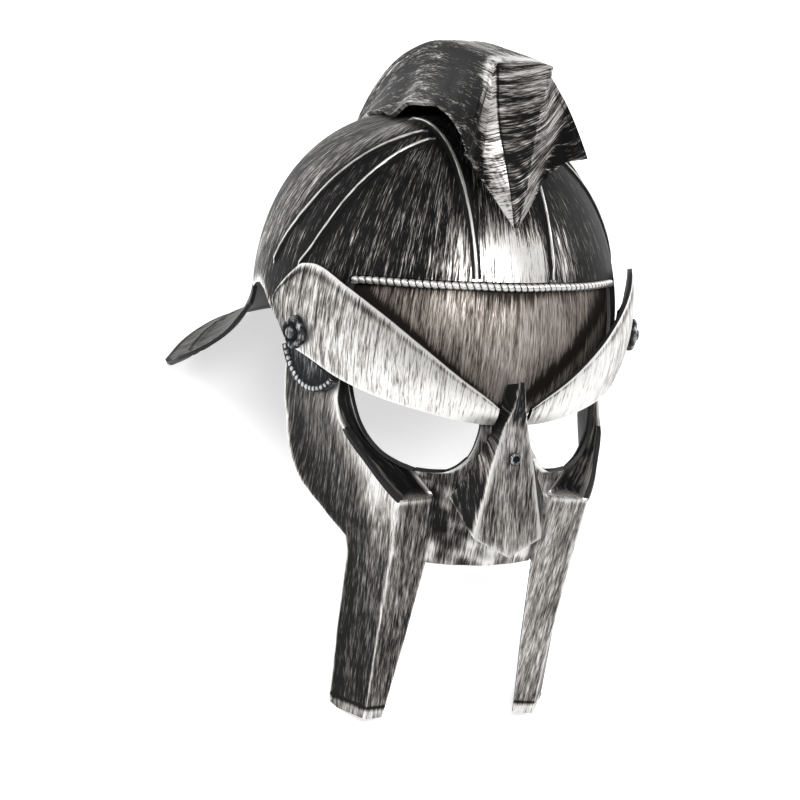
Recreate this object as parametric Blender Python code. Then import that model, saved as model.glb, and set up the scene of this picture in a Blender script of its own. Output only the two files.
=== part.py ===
"""Gladiator helmet in moulded plastic: skull, neck guard, crest, brow wings, half mask and nose guard.

The helmet is laid out upright in its own frame, in millimetres: x to the wearer's left, f forward,
z up, with the origin in the middle of the skull at ear height. The finished helmet leans back on an
empty, the way it rests on a table: on the neck guard and on the ends of both cheek plates.
"""
import math

import bpy
import numpy as np
from mathutils import Matrix, Vector
from mathutils.geometry import delaunay_2d_cdt

MM = 0.001

# Walls and joints between the pieces
WALL = 2.0
GAP = 0.3

# Skull: an ellipsoid
SKULL_HALF_WIDTH = 86.5
SKULL_HALF_LENGTH = 110.5
SKULL_HALF_HEIGHT = 103.4
SKULL_CENTRE_F = 0.0
SKULL_CENTRE_Z = -9.5
# The top of the skull slopes down towards the back, from this f on and over this length.
REAR_SLOPE_START = 30.0
REAR_SLOPE_LENGTH = 50.0
REAR_SLOPE_DROP = 10.0

# Lower rim of the skull over the angle from the front, one side
RIM_TABLE = [
    # angle, z
    (0.0, 33.4), (12.0, 33.1), (24.0, 31.6), (39.0, 28.6), (50.0, 25.4), (55.5, 23.1),
    (58.5, -13.0), (70.0, -14.0), (78.0, -15.0), (83.0, -13.5), (88.0, -9.5), (93.0, -5.5),
    (98.0, -5.0), (102.0, -7.5), (107.5, -13.0), (116.0, -16.0), (180.0, -16.0),
]

# Raised ribs on the skull: two along it, and a band of two across each side
RIB_HALF_WIDTH = 2.2
RIB_HEIGHT = 1.6
LONG_RIB = [
    # x, f, with the front end first
    (19.5, 106.0), (19.3, 80.0), (19.3, 60.0), (20.0, 42.0), (22.0, 28.0), (26.0, 4.0),
]
CROSS_RIB_FRONT = [
    # x, f
    (24.0, 36.0), (40.3, 34.5), (56.3, 34.3), (69.0, 33.5), (76.5, 31.0), (81.5, 25.5),
]
CROSS_RIB_BACK = [
    # x, f
    (25.5, 29.0), (38.0, 25.0), (58.5, 18.0), (74.1, 11.6), (81.8, 4.6), (85.0, 0.5),
]

# Rope moulding under the front of the skull
ROPE_END_ANGLE = 54.5
ROPE_RADIUS = 1.9
ROPE_PITCH = 3.8

# Neck guard: a flared flange behind the ears
GUARD_TABLE = [
    # angle, flare, z of the edge
    (108.0, 1.0, -22.0), (112.0, 12.0, -42.0), (118.0, 30.0, -60.0), (127.0, 45.0, -73.0),
    (136.0, 44.0, -68.0), (150.0, 38.0, -59.5), (180.0, 32.0, -56.0),
]

# Forehead plate, set back behind the rim of the skull
FOREHEAD_INSET = 3.5
FOREHEAD_END_ANGLE = 54.5

# Brow wings: their stand-off from the skull and their edges over the angle
WING_STAND_OFF_TOP = 9.5
WING_STAND_OFF_BOTTOM = 5.5
WING_BOW = 1.2
WING_TABLE = [
    # angle, z of the top edge, z of the bottom edge
    (5.0, -22.6, -32.5), (8.0, -18.6, -32.6), (16.0, -10.0, -31.6), (28.0, 2.8, -29.4),
    (40.0, 13.5, -27.4), (52.0, 20.9, -24.4), (63.0, 25.2, -20.2), (68.5, 23.0, -19.0),
    (72.0, 16.5, -17.0), (75.5, 7.5, -12.0), (77.3, 1.0, -5.0),
]

# Half mask: outline and forms over the angle about the upright axis
MASK_SIDE_TABLE = [
    # z, radius of the mask straight to the side
    (-200.0, 89.0), (-100.0, 86.0), (-60.0, 81.5), (-20.0, 83.5),
]
MASK_FRONT_TABLE = [
    # z, radius of the mask straight in front
    (-200.0, 94.7), (-109.0, 104.0), (-73.0, 110.0), (-50.0, 112.5), (-33.0, 106.0), (-15.0, 102.0),
]
MASK_TOP_EDGE = [
    # angle, z
    (0.0, -29.0), (6.0, -25.0), (18.0, -21.5), (32.0, -19.5), (44.0, -17.0), (50.0, -15.6),
    (64.0, -15.8), (70.5, -17.4),
]
MASK_OUTER_EDGE = [
    # angle, z
    (73.0, -22.0), (75.0, -29.0), (75.5, -39.0), (74.3, -53.0), (70.5, -66.5), (65.0, -78.0),
    (58.6, -85.7), (48.8, -93.0), (42.0, -99.5), (38.7, -103.1), (37.6, -110.4), (37.9, -147.6),
    (37.8, -193.0),
]
MASK_INNER_EDGE = [
    # angle, z
    (21.1, -193.6), (17.8, -150.0), (15.3, -107.5),
]
MASK_RIDGE = [
    # angle, z, height
    (47.8, -30.0, 1.0), (47.4, -38.0, 2.5), (44.3, -45.5, 4.0), (40.0, -50.6, 6.0), (34.3, -57.3, 8.5),
    (29.4, -63.9, 12.0), (23.7, -71.5, 16.0), (24.4, -110.0, 13.5), (25.1, -150.0, 10.5), (25.8, -192.8, 8.0),
]
RIDGE_CORNER_ROW = 6
SOCKET_FLOOR_OFFSET = 3.0
FACET_TOP_Z = -71.5
FACET_INNER_HEIGHT = 2.0
FACET_STEP = 0.7
FACET_EDGE_INSET_TOP = 3.5
FACET_EDGE_INSET_LIP = 5.5
LEDGE_FALL = 1.2
MASK_CHART_RADIUS = 100.0
MASK_MESH_SPACING = 10.0
EYE_EDGE = [
    # angle, z
    (44.6, -23.5), (44.0, -28.5), (40.2, -41.3), (36.0, -49.7), (30.5, -56.6), (24.5, -59.8),
    (19.1, -60.5), (14.0, -58.6), (10.0, -52.5), (7.3, -43.7), (6.0, -34.0), (8.0, -29.5), (20.0, -26.5),
    (33.0, -24.5),
]

# Nose guard: a three-sided hood under the brow
NOSE_TABLE = [
    # z at the corner, f at the corner, half width, z at the back, f at the back, half width at the back
    (-8.5, 122.0, 1.2, -13.5, 110.0, 2.4),
    (-20.0, 123.5, 2.8, -24.0, 110.5, 3.8),
    (-29.5, 121.8, 5.6, -34.5, 111.0, 6.0),
    (-50.0, 125.3, 10.5, -47.0, 114.0, 13.5),
    (-68.0, 128.0, 14.0, -59.0, 113.0, 18.5),
    (-83.2, 130.0, 17.0, -69.5, 111.0, 24.0),
]
NOSE_TIP_DROP = 8.0
NOSE_TIP_RISE = 3.3
NOSE_FOLD = 0.3

# Crest: sections from the front to the back
CREST_CREASE = [
    # half width, f, z from the foot of the front face to its top
    (1.2, 90.0, 56.8), (4.0, 87.3, 71.6), (7.0, 81.4, 87.2), (10.0, 76.0, 101.6), (12.0, 74.2, 112.6),
    (13.5, 73.8, 123.0), (14.5, 73.6, 129.0),
]
CREST_TABLE = [
    # top half width, top f, top z, skirt half width, skirt f, skirt z, hollow of the side (under 1 bulges)
    (14.8, 72.5, 131.4, 14.7, 78.2, 78.3, 0.70),
    (14.8, 71.0, 131.6, 21.7, 82.0, 88.2, 0.50),
    (14.8, 70.0, 131.5, 30.3, 92.0, 91.6, 0.33),
    (14.6, 60.0, 130.8, 30.3, 80.0, 98.5, 0.60),
    (14.4, 45.0, 129.3, 30.0, 63.0, 102.2, 1.00),
    (14.0, 27.0, 127.3, 29.5, 45.0, 102.8, 1.40),
    (13.6, 6.0, 124.8, 29.0, 25.0, 98.5, 1.60),
    (13.2, -16.0, 120.0, 28.5, 4.0, 93.0, 1.70),
    (12.8, -38.0, 111.5, 28.0, -17.0, 0.0, 1.70),
    (12.2, -60.0, 100.3, 26.5, -38.0, 0.0, 1.70),
    (11.6, -80.0, 86.0, 24.5, -57.0, 0.0, 1.70),
    (11.0, -96.0, 71.0, 22.0, -72.0, 0.0, 1.70),
    (10.3, -109.0, 55.0, 19.0, -82.0, 0.0, 1.70),
    (9.5, -117.0, 38.0, 16.0, -89.0, 0.0, 1.70),
]
CREST_CLEARANCE = 2.6
CREST_REAR_CLEARANCE = 2.6
CREST_TOP_ROUND = 6.0
CREST_CREASE_TOP_Z = 131.5

# Small parts
ROSETTE_ANGLE = 66.3
ROSETTE_Z = -9.4
ROSETTE_STAND_OFF = 8.1
ROSETTE_RADIUS = 8.2
ROSETTE_HEIGHT = 5.0
ROSETTE_PETALS = 4
ROSETTE_NOTCH = 0.13
DISC_ANGLE = 60.5
DISC_Z = -17.5
DISC_RADIUS = 22.5
DISC_THICKNESS = 2.5
DISC_SEAT_RADIUS = 90.0
DISC_SEAT_GAP = 0.6
DISC_REACH = 74.0
DISC_TUCK = 0.0
STUD_Z = -44.8
STUD_ROW = 2
STUD_SEAT = 0.75
STUD_RADIUS = 3.0
STUD_HEIGHT = 2.0

# Resting: the plane through the edge of the neck guard and the ends of the cheek plates
REST_GUARD = (-142.5, -55.4)
REST_CHEEK = (72.6, -190.0)

COLOURS = {
    "plastic_silver": (0.42, 0.41, 0.40, 1.0),
    "plastic_dark": (0.12, 0.12, 0.12, 1.0),
}


# ---------------------------------------------------------------- shapes of the helmet

def column(table, index):
    """One named column of a table, as an array."""
    return np.array([row[index] for row in table])


def skull_radius(z, stand_off=0.0):
    """Share of the full plan that the skull keeps at a height."""
    share = (z - SKULL_CENTRE_Z) / (SKULL_HALF_HEIGHT + stand_off)
    return np.sqrt(np.clip(1.0 - share * share, 0.0, 1.0))


def skull_at_angle(angle, z, stand_off=0.0):
    """Point of the skull at an angle from the front and a height."""
    turn = np.radians(angle)
    share = skull_radius(z, stand_off)
    x = (SKULL_HALF_WIDTH + stand_off) * share * np.sin(turn)
    f = SKULL_CENTRE_F + (SKULL_HALF_LENGTH + stand_off) * share * np.cos(turn)
    return np.stack(np.broadcast_arrays(x, f, z), axis=-1)


def skull_z(x, f, stand_off=0.0):
    """Height of the skull over a point of its plan."""
    across = x / (SKULL_HALF_WIDTH + stand_off)
    along = (f - SKULL_CENTRE_F) / (SKULL_HALF_LENGTH + stand_off)
    share = np.sqrt(np.clip(1.0 - across * across - along * along, 0.0, 1.0))
    return SKULL_CENTRE_Z + (SKULL_HALF_HEIGHT + stand_off) * share


def rear_slope(f, z):
    """How far the rear of the skull's top lies under the ellipsoid."""
    back = np.clip((REAR_SLOPE_START - f) / REAR_SLOPE_LENGTH, 0.0, 1.0)
    high = np.clip((z - SKULL_CENTRE_Z) / SKULL_HALF_HEIGHT, 0.0, 1.0)
    return REAR_SLOPE_DROP * back ** 2 * (3.0 - 2.0 * back) * high ** 3


def mask_base(angle, z):
    """Radius of the mask without its relief."""
    front = np.interp(z, column(MASK_FRONT_TABLE, 0), column(MASK_FRONT_TABLE, 1))
    side = np.interp(z, column(MASK_SIDE_TABLE, 0), column(MASK_SIDE_TABLE, 1))
    return side + (front - side) * np.abs(np.cos(np.radians(angle))) ** 3


def mask_radius(angle, z):
    """Radius of the mask: flat cheeks outside the ridge, facets and sunk eye sockets inside it."""
    turn = np.abs(angle)
    rising = -np.asarray(z)
    ridge_angle = np.interp(rising, -column(MASK_RIDGE, 1), column(MASK_RIDGE, 0))
    ridge_height = np.interp(rising, -column(MASK_RIDGE, 1), column(MASK_RIDGE, 2))
    outer_angle = np.interp(rising, -column(MASK_OUTER_EDGE, 1), column(MASK_OUTER_EDGE, 0))
    ridge_radius = mask_base(ridge_angle, z) + ridge_height
    outer_radius = mask_base(outer_angle, z)
    to_ridge = np.sin(np.radians(turn - ridge_angle))
    to_outer = np.sin(np.radians(outer_angle - turn))
    whole = np.sin(np.radians(outer_angle - ridge_angle))
    chord = np.maximum(ridge_radius * to_ridge + outer_radius * to_outer, 1.0)
    cheek = ridge_radius * outer_radius * whole / chord
    inner_angle = np.interp(z, column(MASK_INNER_EDGE, 1), column(MASK_INNER_EDGE, 0))
    facet = np.clip((turn - inner_angle) / (ridge_angle - inner_angle), 0.0, 1.0)
    facet_height = FACET_INNER_HEIGHT + (ridge_height - FACET_INNER_HEIGHT) * facet
    on_facet = (turn > inner_angle + 0.5 * FACET_STEP) | (np.asarray(z) < MASK_INNER_EDGE[-1][1] + 0.1)
    low = np.where(on_facet, facet_height, 0.0)
    socket = ridge_height * np.clip(1.0 - (ridge_angle - turn) / SOCKET_FLOOR_OFFSET, 0.0, 1.0)
    relief = np.where(np.asarray(z) < FACET_TOP_Z + 0.01, low, socket)
    return np.where(turn >= ridge_angle, cheek, mask_base(angle, z) + relief)


def mask_point(angle, z, stand_off=0.0):
    """Point of the mask's outer face."""
    radius = mask_radius(angle, z) + stand_off
    turn = np.radians(angle)
    return np.stack(np.broadcast_arrays(radius * np.sin(turn), radius * np.cos(turn), z), axis=-1)


# ---------------------------------------------------------------- meshes

def make_material(name):
    """Plastic of one colour."""
    material = bpy.data.materials.new(name)
    material.use_nodes = True
    shader = material.node_tree.nodes["Principled BSDF"]
    shader.inputs["Base Color"].default_value = COLOURS[name]
    shader.inputs["Roughness"].default_value = 0.42
    shader.inputs["Metallic"].default_value = 0.35
    return material


def add_piece(name, points, faces, material, parent):
    """Object from points of the helmet's frame and their faces."""
    mesh = bpy.data.meshes.new(name)
    place = [(MM * x, -MM * f, MM * z) for x, f, z in points]
    mesh.from_pydata(place, [], faces)
    mesh.validate()
    mesh.materials.append(material)
    mesh.shade_smooth()
    mesh.set_sharp_from_angle(angle=math.radians(35.0))
    piece = bpy.data.objects.new(name, mesh)
    piece.parent = parent
    bpy.context.collection.objects.link(piece)
    return piece


def add_wall(piece, thickness=WALL):
    """Give a sheet its wall, inwards from its outer face."""
    wall = piece.modifiers.new("wall", "SOLIDIFY")
    wall.thickness = thickness * MM
    wall.offset = -1.0
    wall.use_even_offset = False
    return piece


def grid_faces(rows, columns, closed=False, first=0):
    """Faces of a grid of points that is stored row by row."""
    faces = []
    last = columns if closed else columns - 1
    for row in range(rows - 1):
        for place in range(last):
            following = (place + 1) % columns
            a = first + row * columns + place
            b = first + row * columns + following
            faces.append((a, b, b + columns, a + columns))
    return faces


def flip(faces):
    """The same faces, seen from the other side."""
    return [tuple(reversed(face)) for face in faces]


def inside_outline(points, outline):
    """Which points lie inside a closed outline, by counting the sides to their right."""
    inside = np.zeros(len(points), dtype=bool)
    start = np.array(outline)
    end = np.roll(start, -1, axis=0)
    for (x0, y0), (x1, y1) in zip(start, end):
        spans = (y0 > points[:, 1]) != (y1 > points[:, 1])
        rise = y1 - y0 if y1 != y0 else 1.0
        crossing = x0 + (points[:, 1] - y0) * (x1 - x0) / rise
        inside ^= spans & (points[:, 0] < crossing)
    return inside


def resample(line, spacing, closed=False):
    """Points along a line at about even spacing, keeping its own corners."""
    corners = list(line) + ([line[0]] if closed else [])
    points = []
    for start, end in zip(corners[:-1], corners[1:]):
        length = math.hypot(end[0] - start[0], end[1] - start[1])
        steps = max(1, round(length / spacing))
        for step in range(steps):
            share = step / steps
            points.append((start[0] + share * (end[0] - start[0]), start[1] + share * (end[1] - start[1])))
    if not closed:
        points.append(corners[-1])
    return points


def sheet(outline, holes, lines, spacing):
    """Triangles that fill a flat outline with holes, with edges along the given lines."""
    coords = []
    edges = []
    loops = [outline] + holes
    for loop in loops:
        first = len(coords)
        coords.extend(loop)
        edges.extend((first + k, first + (k + 1) % len(loop)) for k in range(len(loop)))
    for line in lines:
        first = len(coords)
        coords.extend(line)
        edges.extend((first + k, first + k + 1) for k in range(len(line) - 1))
    fixed = np.array(coords)
    low = fixed.min(axis=0)
    high = fixed.max(axis=0)
    rows = np.arange(low[1], high[1], spacing * 0.866)
    field = []
    for index, y in enumerate(rows):
        shift = 0.5 * spacing * (index % 2)
        start = -shift - spacing * math.ceil((-low[0]) / spacing)
        xs = np.arange(start, high[0], spacing)
        field.append(np.stack([xs, np.full(len(xs), y)], axis=1))
    field = np.concatenate(field)
    keep = inside_outline(field, outline)
    for hole in holes:
        keep &= ~inside_outline(field, hole)
    field = field[keep]
    distance = np.linalg.norm(field[:, None, :] - fixed[None, :, :], axis=2).min(axis=1)
    field = field[distance > 0.62 * spacing]
    coords = [Vector(point) for point in coords] + [Vector(point) for point in field]
    filled = delaunay_2d_cdt(coords, edges, [], 1, 1e-6)
    points = np.array([tuple(point) for point in filled[0]])
    faces = np.array([tuple(face) for face in filled[2]])
    middle = points[faces].mean(axis=1)
    keep = inside_outline(middle, outline)
    for hole in holes:
        keep &= ~inside_outline(middle, hole)
    return points, [tuple(int(k) for k in face) for face in faces[keep]]


# ---------------------------------------------------------------- pieces

def polar_flat(points):
    """Flat chart of the skull: direction in plan, distance from the top by the angle down from it."""
    x = points[..., 0] / SKULL_HALF_WIDTH
    f = (points[..., 1] - SKULL_CENTRE_F) / SKULL_HALF_LENGTH
    z = (points[..., 2] - SKULL_CENTRE_Z) / SKULL_HALF_HEIGHT
    plan = np.hypot(x, f)
    down = np.degrees(np.arctan2(plan, z))
    safe = np.where(plan < 1e-9, 1.0, plan)
    return np.stack([down * x / safe, down * f / safe], axis=-1)


def polar_place(chart):
    """Point of the skull for a point of its flat chart."""
    down = np.hypot(chart[:, 0], chart[:, 1])
    safe = np.where(down < 1e-9, 1.0, down)
    share = np.sin(np.radians(down)) / safe
    x = SKULL_HALF_WIDTH * share * chart[:, 0]
    f = SKULL_CENTRE_F + SKULL_HALF_LENGTH * share * chart[:, 1]
    z = SKULL_CENTRE_Z + SKULL_HALF_HEIGHT * np.cos(np.radians(down))
    return np.stack([x, f, z], axis=1)


def rib_lines():
    """Centre line of each rib on the flat chart of the skull."""
    lines = []
    for table in (LONG_RIB, CROSS_RIB_FRONT, CROSS_RIB_BACK):
        for side in (1.0, -1.0):
            fine = np.linspace(0.0, len(table) - 1.0, 3 * len(table) - 2)
            x = side * np.interp(fine, np.arange(len(table)), column(table, 0))
            f = np.interp(fine, np.arange(len(table)), column(table, 1))
            lines.append(polar_flat(np.stack([x, f, skull_z(x, f)], axis=1)))
    return lines


def distance_to_lines(points, lines):
    """Least distance on the chart from each point to any of the lines."""
    least = np.full(len(points), 1e9)
    for line in lines:
        for start, end in zip(line[:-1], line[1:]):
            along = end - start
            share = np.clip(((points - start) @ along) / (along @ along), 0.0, 1.0)
            foot = start + share[:, None] * along
            least = np.minimum(least, np.linalg.norm(points - foot, axis=1))
    return least


def make_skull(material, parent):
    """Skull with its rim, ear notches and raised ribs."""
    angles = np.concatenate([
        np.arange(-180.0, 180.0, 7.5),
        column(RIM_TABLE, 0)[1:-1],
        -column(RIM_TABLE, 0)[1:-1],
    ])
    angles = np.unique(np.round(angles, 3))
    rim_z = np.interp(np.abs(angles), column(RIM_TABLE, 0), column(RIM_TABLE, 1))
    outline = [tuple(point) for point in polar_flat(skull_at_angle(angles, rim_z))]
    degrees_per_mm = math.degrees(1.0 / SKULL_HALF_HEIGHT)
    half_width = RIB_HALF_WIDTH * degrees_per_mm
    ribs = rib_lines()
    lines = []
    for rib in ribs:
        along = np.gradient(rib, axis=0)
        across = np.stack([-along[:, 1], along[:, 0]], axis=1)
        across /= np.linalg.norm(across, axis=1)[:, None]
        for shift in (-half_width, 0.0, half_width):
            moved = rib + shift * across
            inside = inside_outline(moved, [tuple(0.985 * np.array(point)) for point in outline])
            lines.append([tuple(point) for point in moved[inside]])
    chart, faces = sheet(outline, [], lines, 9.5)
    points = polar_place(chart)
    outward = points - np.array([0.0, SKULL_CENTRE_F, SKULL_CENTRE_Z])
    outward /= np.array([SKULL_HALF_WIDTH, SKULL_HALF_LENGTH, SKULL_HALF_HEIGHT]) ** 2
    outward /= np.linalg.norm(outward, axis=1)[:, None]
    share = np.clip(1.0 - distance_to_lines(chart, ribs) / half_width, 0.0, 1.0)
    points += outward * (RIB_HEIGHT * share)[:, None]
    points[:, 2] -= rear_slope(points[:, 1], points[:, 2])
    return add_wall(add_piece("skull", points, flip(faces), material, parent))


def make_rope_edge(material, parent):
    """Rope moulding along the front rim: a round bead that swells and narrows over each turn."""
    arc = 2.0 * math.radians(ROPE_END_ANGLE) * SKULL_HALF_LENGTH
    beads = round(arc / ROPE_PITCH / 2.0)
    angles = np.linspace(-ROPE_END_ANGLE, ROPE_END_ANGLE, 2 * beads + 1)
    rim_z = np.interp(np.abs(angles), column(RIM_TABLE, 0), column(RIM_TABLE, 1))
    centre_z = rim_z - ROPE_RADIUS - GAP - 0.25
    centres = skull_at_angle(angles, centre_z, -1.0)
    swell = np.where(np.arange(len(angles)) % 2 == 0, 0.72, 1.0)
    sides = 6
    points = []
    up = np.array([0.0, 0.0, 1.0])
    for centre, angle, radius in zip(centres, angles, swell * ROPE_RADIUS):
        outward = np.array([math.sin(math.radians(angle)), math.cos(math.radians(angle)), 0.0])
        for side in range(sides):
            turn = 2.0 * math.pi * side / sides
            points.append(centre + radius * (math.cos(turn) * outward + math.sin(turn) * up))
    faces = grid_faces(len(angles), sides, closed=True)
    faces.append(tuple(reversed(range(sides))))
    faces.append(tuple(range(len(points) - sides, len(points))))
    return add_piece("rope_edge", points, flip(faces), material, parent)


def make_neck_guard(material, parent):
    """Flange that flares out from the back of the skull."""
    angles = np.unique(np.concatenate([np.linspace(107.5, 180.0, 13), column(GUARD_TABLE, 0)]))
    angles = np.concatenate([angles, 360.0 - angles[::-1][1:]])
    fold = np.minimum(angles, 360.0 - angles)
    flare = np.interp(fold, column(GUARD_TABLE, 0), column(GUARD_TABLE, 1))
    edge_z = np.interp(fold, column(GUARD_TABLE, 0), column(GUARD_TABLE, 2))
    top_z = np.interp(fold, column(RIM_TABLE, 0), column(RIM_TABLE, 1)) - 2.0 * GAP
    rows = []
    turn = np.radians(angles)
    for share in np.linspace(0.0, 1.0, 8):
        out = flare * share ** 1.9
        z = top_z + (edge_z - top_z) * (1.15 * share - 0.15 * share ** 2)
        x = (SKULL_HALF_WIDTH + out) * np.sin(turn)
        f = SKULL_CENTRE_F + (SKULL_HALF_LENGTH + out) * np.cos(turn)
        rows.append(np.stack([x, f, z], axis=1))
    points = np.concatenate(rows)
    faces = flip(grid_faces(len(rows), len(angles)))
    return add_wall(add_piece("neck_guard", points, faces, material, parent))


def make_forehead(material, parent):
    """Plate that fills the front under the rope moulding."""
    angles = np.linspace(-FOREHEAD_END_ANGLE, FOREHEAD_END_ANGLE, 19)
    top_z = np.interp(np.abs(angles), column(RIM_TABLE, 0), column(RIM_TABLE, 1)) + 3.0
    low_z = np.interp(np.abs(angles), column(MASK_TOP_EDGE, 0), column(MASK_TOP_EDGE, 1)) + 0.8
    rows = []
    for share in np.linspace(0.0, 1.0, 8):
        z = top_z + (low_z - top_z) * share
        rows.append(skull_at_angle(angles, z, -FOREHEAD_INSET))
    points = np.concatenate(rows)
    faces = flip(grid_faces(len(rows), len(angles)))
    return add_wall(add_piece("forehead_plate", points, faces, material, parent))


def make_brow_wing(name, side, material, parent):
    """One wing: a band from the temple down to the middle of the brow, standing off the skull."""
    even = np.linspace(WING_TABLE[0][0], WING_TABLE[-1][0], 15)
    angles = np.unique(np.concatenate([even, column(WING_TABLE, 0)]))
    top_z = np.interp(angles, column(WING_TABLE, 0), column(WING_TABLE, 1))
    low_z = np.interp(angles, column(WING_TABLE, 0), column(WING_TABLE, 2))
    rows = []
    for share in np.linspace(0.0, 1.0, 6):
        z = top_z + (low_z - top_z) * share
        stand_off = WING_STAND_OFF_TOP + (WING_STAND_OFF_BOTTOM - WING_STAND_OFF_TOP) * share
        rows.append(skull_at_angle(side * angles, z, stand_off + WING_BOW * math.sin(math.pi * share)))
    points = np.concatenate(rows)
    faces = grid_faces(len(rows), len(angles))
    if side > 0:
        faces = flip(faces)
    return add_wall(add_piece(name, points, faces, material, parent))


def mask_flat(table):
    """Outline points on the mask's flat chart: arc length by angle, and height."""
    return [(math.radians(row[0]) * MASK_CHART_RADIUS, row[1]) for row in table]


def mirrored(points):
    """The same chart points on the other side of the middle."""
    return [(-x, y) for x, y in points]


def make_face_mask(material, parent):
    """Half mask: frame of the eyes, cheek plates and upper lip in one piece."""
    half = mask_flat(MASK_TOP_EDGE + MASK_OUTER_EDGE + MASK_RIDGE[-1:] + MASK_INNER_EDGE)
    outline = resample(half + mirrored(half)[::-1][:-1], 9.0, closed=True)
    eye = resample(mask_flat(EYE_EDGE), 8.0, closed=True)
    corner_angle = MASK_RIDGE[RIDGE_CORNER_ROW][0]
    lip_angle, lip_z = MASK_INNER_EDGE[-1]
    floor = [(row[0] - SOCKET_FLOOR_OFFSET, row[1]) for row in MASK_RIDGE[1:RIDGE_CORNER_ROW]]
    ledge_top = [(corner_angle - 0.4, FACET_TOP_Z), (lip_angle + FACET_STEP, FACET_TOP_Z)]
    ledge_foot = [(corner_angle - 2.0, FACET_TOP_Z + LEDGE_FALL), (lip_angle, FACET_TOP_Z + LEDGE_FALL)]
    facet_high = FACET_TOP_Z - FACET_EDGE_INSET_TOP
    facet_low = lip_z + FACET_EDGE_INSET_LIP
    facet_edge = [(lip_angle + FACET_STEP, facet_high), (lip_angle + FACET_STEP, facet_low)]
    facet_foot = [(lip_angle, facet_high), (lip_angle, facet_low)]
    lines = []
    for table in (MASK_RIDGE, floor, ledge_top, ledge_foot, facet_edge, facet_foot):
        line = resample(mask_flat(table), 8.0)
        lines.append(line)
        lines.append(mirrored(line))
    chart, faces = sheet(outline, [eye, mirrored(eye)], lines, MASK_MESH_SPACING)
    points = mask_point(np.degrees(chart[:, 0] / MASK_CHART_RADIUS), chart[:, 1])
    return add_wall(add_piece("face_mask", points, faces, material, parent))


def make_nose_guard(material, parent):
    """Hood over the nose: a front facet between two side facets, open underneath."""
    points = []
    for index, (z, f, half, back_z, back_f, back_half) in enumerate(NOSE_TABLE):
        last = index == len(NOSE_TABLE) - 1
        drop = NOSE_TIP_DROP if last else 0.0
        rise = NOSE_TIP_RISE if last else 0.0
        points.extend([
            (-back_half, back_f, back_z), (-half, f, z), (0.0, f + rise + NOSE_FOLD, z - drop),
            (half, f, z), (back_half, back_f, back_z),
        ])
    faces = flip(grid_faces(len(NOSE_TABLE), 5))
    return add_wall(add_piece("nose_guard", points, faces, material, parent))


def crest_section(top_half, top_f, top_z, skirt_half, skirt_f, skirt_z, hollow):
    """One side of a section of the crest, from the skirt up to the rounded top."""
    points = []
    for share in (0.0, 0.12, 0.28, 0.46, 0.64, 0.82, 1.0):
        half = top_half + (skirt_half - top_half) * (1.0 - share) ** hollow
        f = skirt_f + (top_f - skirt_f) * share ** max(1.0, 1.0 / hollow)
        z = skirt_z + (top_z - CREST_TOP_ROUND - skirt_z) * share
        points.append((half, f, z))
    return points


def make_crest(material, parent):
    """Hollow crest: a flat front face, sides that flare into a skirt, and a rounded top."""
    sections = [list(CREST_CREASE)]
    tops = [(CREST_CREASE[-1][0], CREST_CREASE[-1][1], CREST_CREASE_TOP_Z)]
    for top_half, top_f, top_z, skirt_half, skirt_f, skirt_z, hollow in CREST_TABLE:
        clearance = CREST_CLEARANCE if skirt_f > 0.0 else CREST_REAR_CLEARANCE
        floor = float(skull_z(skirt_half, skirt_f, clearance))
        skirt_z = max(skirt_z, floor - float(rear_slope(skirt_f, floor)))
        sections.append(crest_section(top_half, top_f, top_z, skirt_half, skirt_f, skirt_z, hollow))
        tops.append((top_half, top_f, top_z))
    points = []
    for index, (section, (top_half, top_f, top_z)) in enumerate(zip(sections, tops)):
        inset = 0.3 if index == 0 else 0.175
        shoulder = (0.93 * top_half, top_f, top_z - inset * CREST_TOP_ROUND)
        cap = [shoulder, (0.6 * top_half, top_f, top_z)]
        right = [(-x, f, z) for x, f, z in section + cap]
        left = [(x, f, z) for x, f, z in (section + cap)[::-1]]
        points.extend(right + left)
    width = 2 * (len(sections[0]) + 2)
    faces = grid_faces(len(sections), width)
    for start in (0, (len(sections) - 1) * width):
        rungs = [
            (start + k, start + k + 1, start + width - 2 - k, start + width - 1 - k)
            for k in range(width // 2 - 1)
        ]
        faces.extend(flip(rungs) if start == 0 else rungs)
    return add_wall(add_piece("crest", points, faces, material, parent))


def make_rosette(name, side, material, parent):
    """Flower-headed rivet: a domed head with four petals, on the end of a wing."""
    centre = skull_at_angle(side * ROSETTE_ANGLE, ROSETTE_Z, ROSETTE_STAND_OFF)
    across_share = centre[0] / SKULL_HALF_WIDTH ** 2
    along_share = (centre[1] - SKULL_CENTRE_F) / SKULL_HALF_LENGTH ** 2
    outward = np.array([across_share, along_share, 0.0])
    outward /= np.linalg.norm(outward)
    up = np.array([0.0, 0.0, 1.0])
    across = np.cross(up, outward)
    count = 6 * ROSETTE_PETALS
    rings = [(1.0, 0.0), (1.0, 0.45), (0.72, 0.95), (0.34, 0.55), (0.22, 0.9)]
    points = []
    for radius_share, height_share in rings:
        for step in range(count):
            turn = 2.0 * math.pi * step / count
            notch = 0.5 - 0.5 * math.cos(ROSETTE_PETALS * turn)
            petal = 1.0 - ROSETTE_NOTCH * notch * min(1.0, radius_share * 1.5)
            radius = ROSETTE_RADIUS * radius_share * petal
            height = ROSETTE_HEIGHT * height_share
            points.append(centre + outward * height
                          + radius * (math.cos(turn) * up + math.sin(turn) * across))
    faces = grid_faces(len(rings), count, closed=True)
    first_cap = tuple(reversed(range(count)))
    last_cap = tuple(range(len(points) - count, len(points)))
    faces = faces + [first_cap, last_cap]
    return add_piece(name, points, faces, material, parent)


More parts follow.
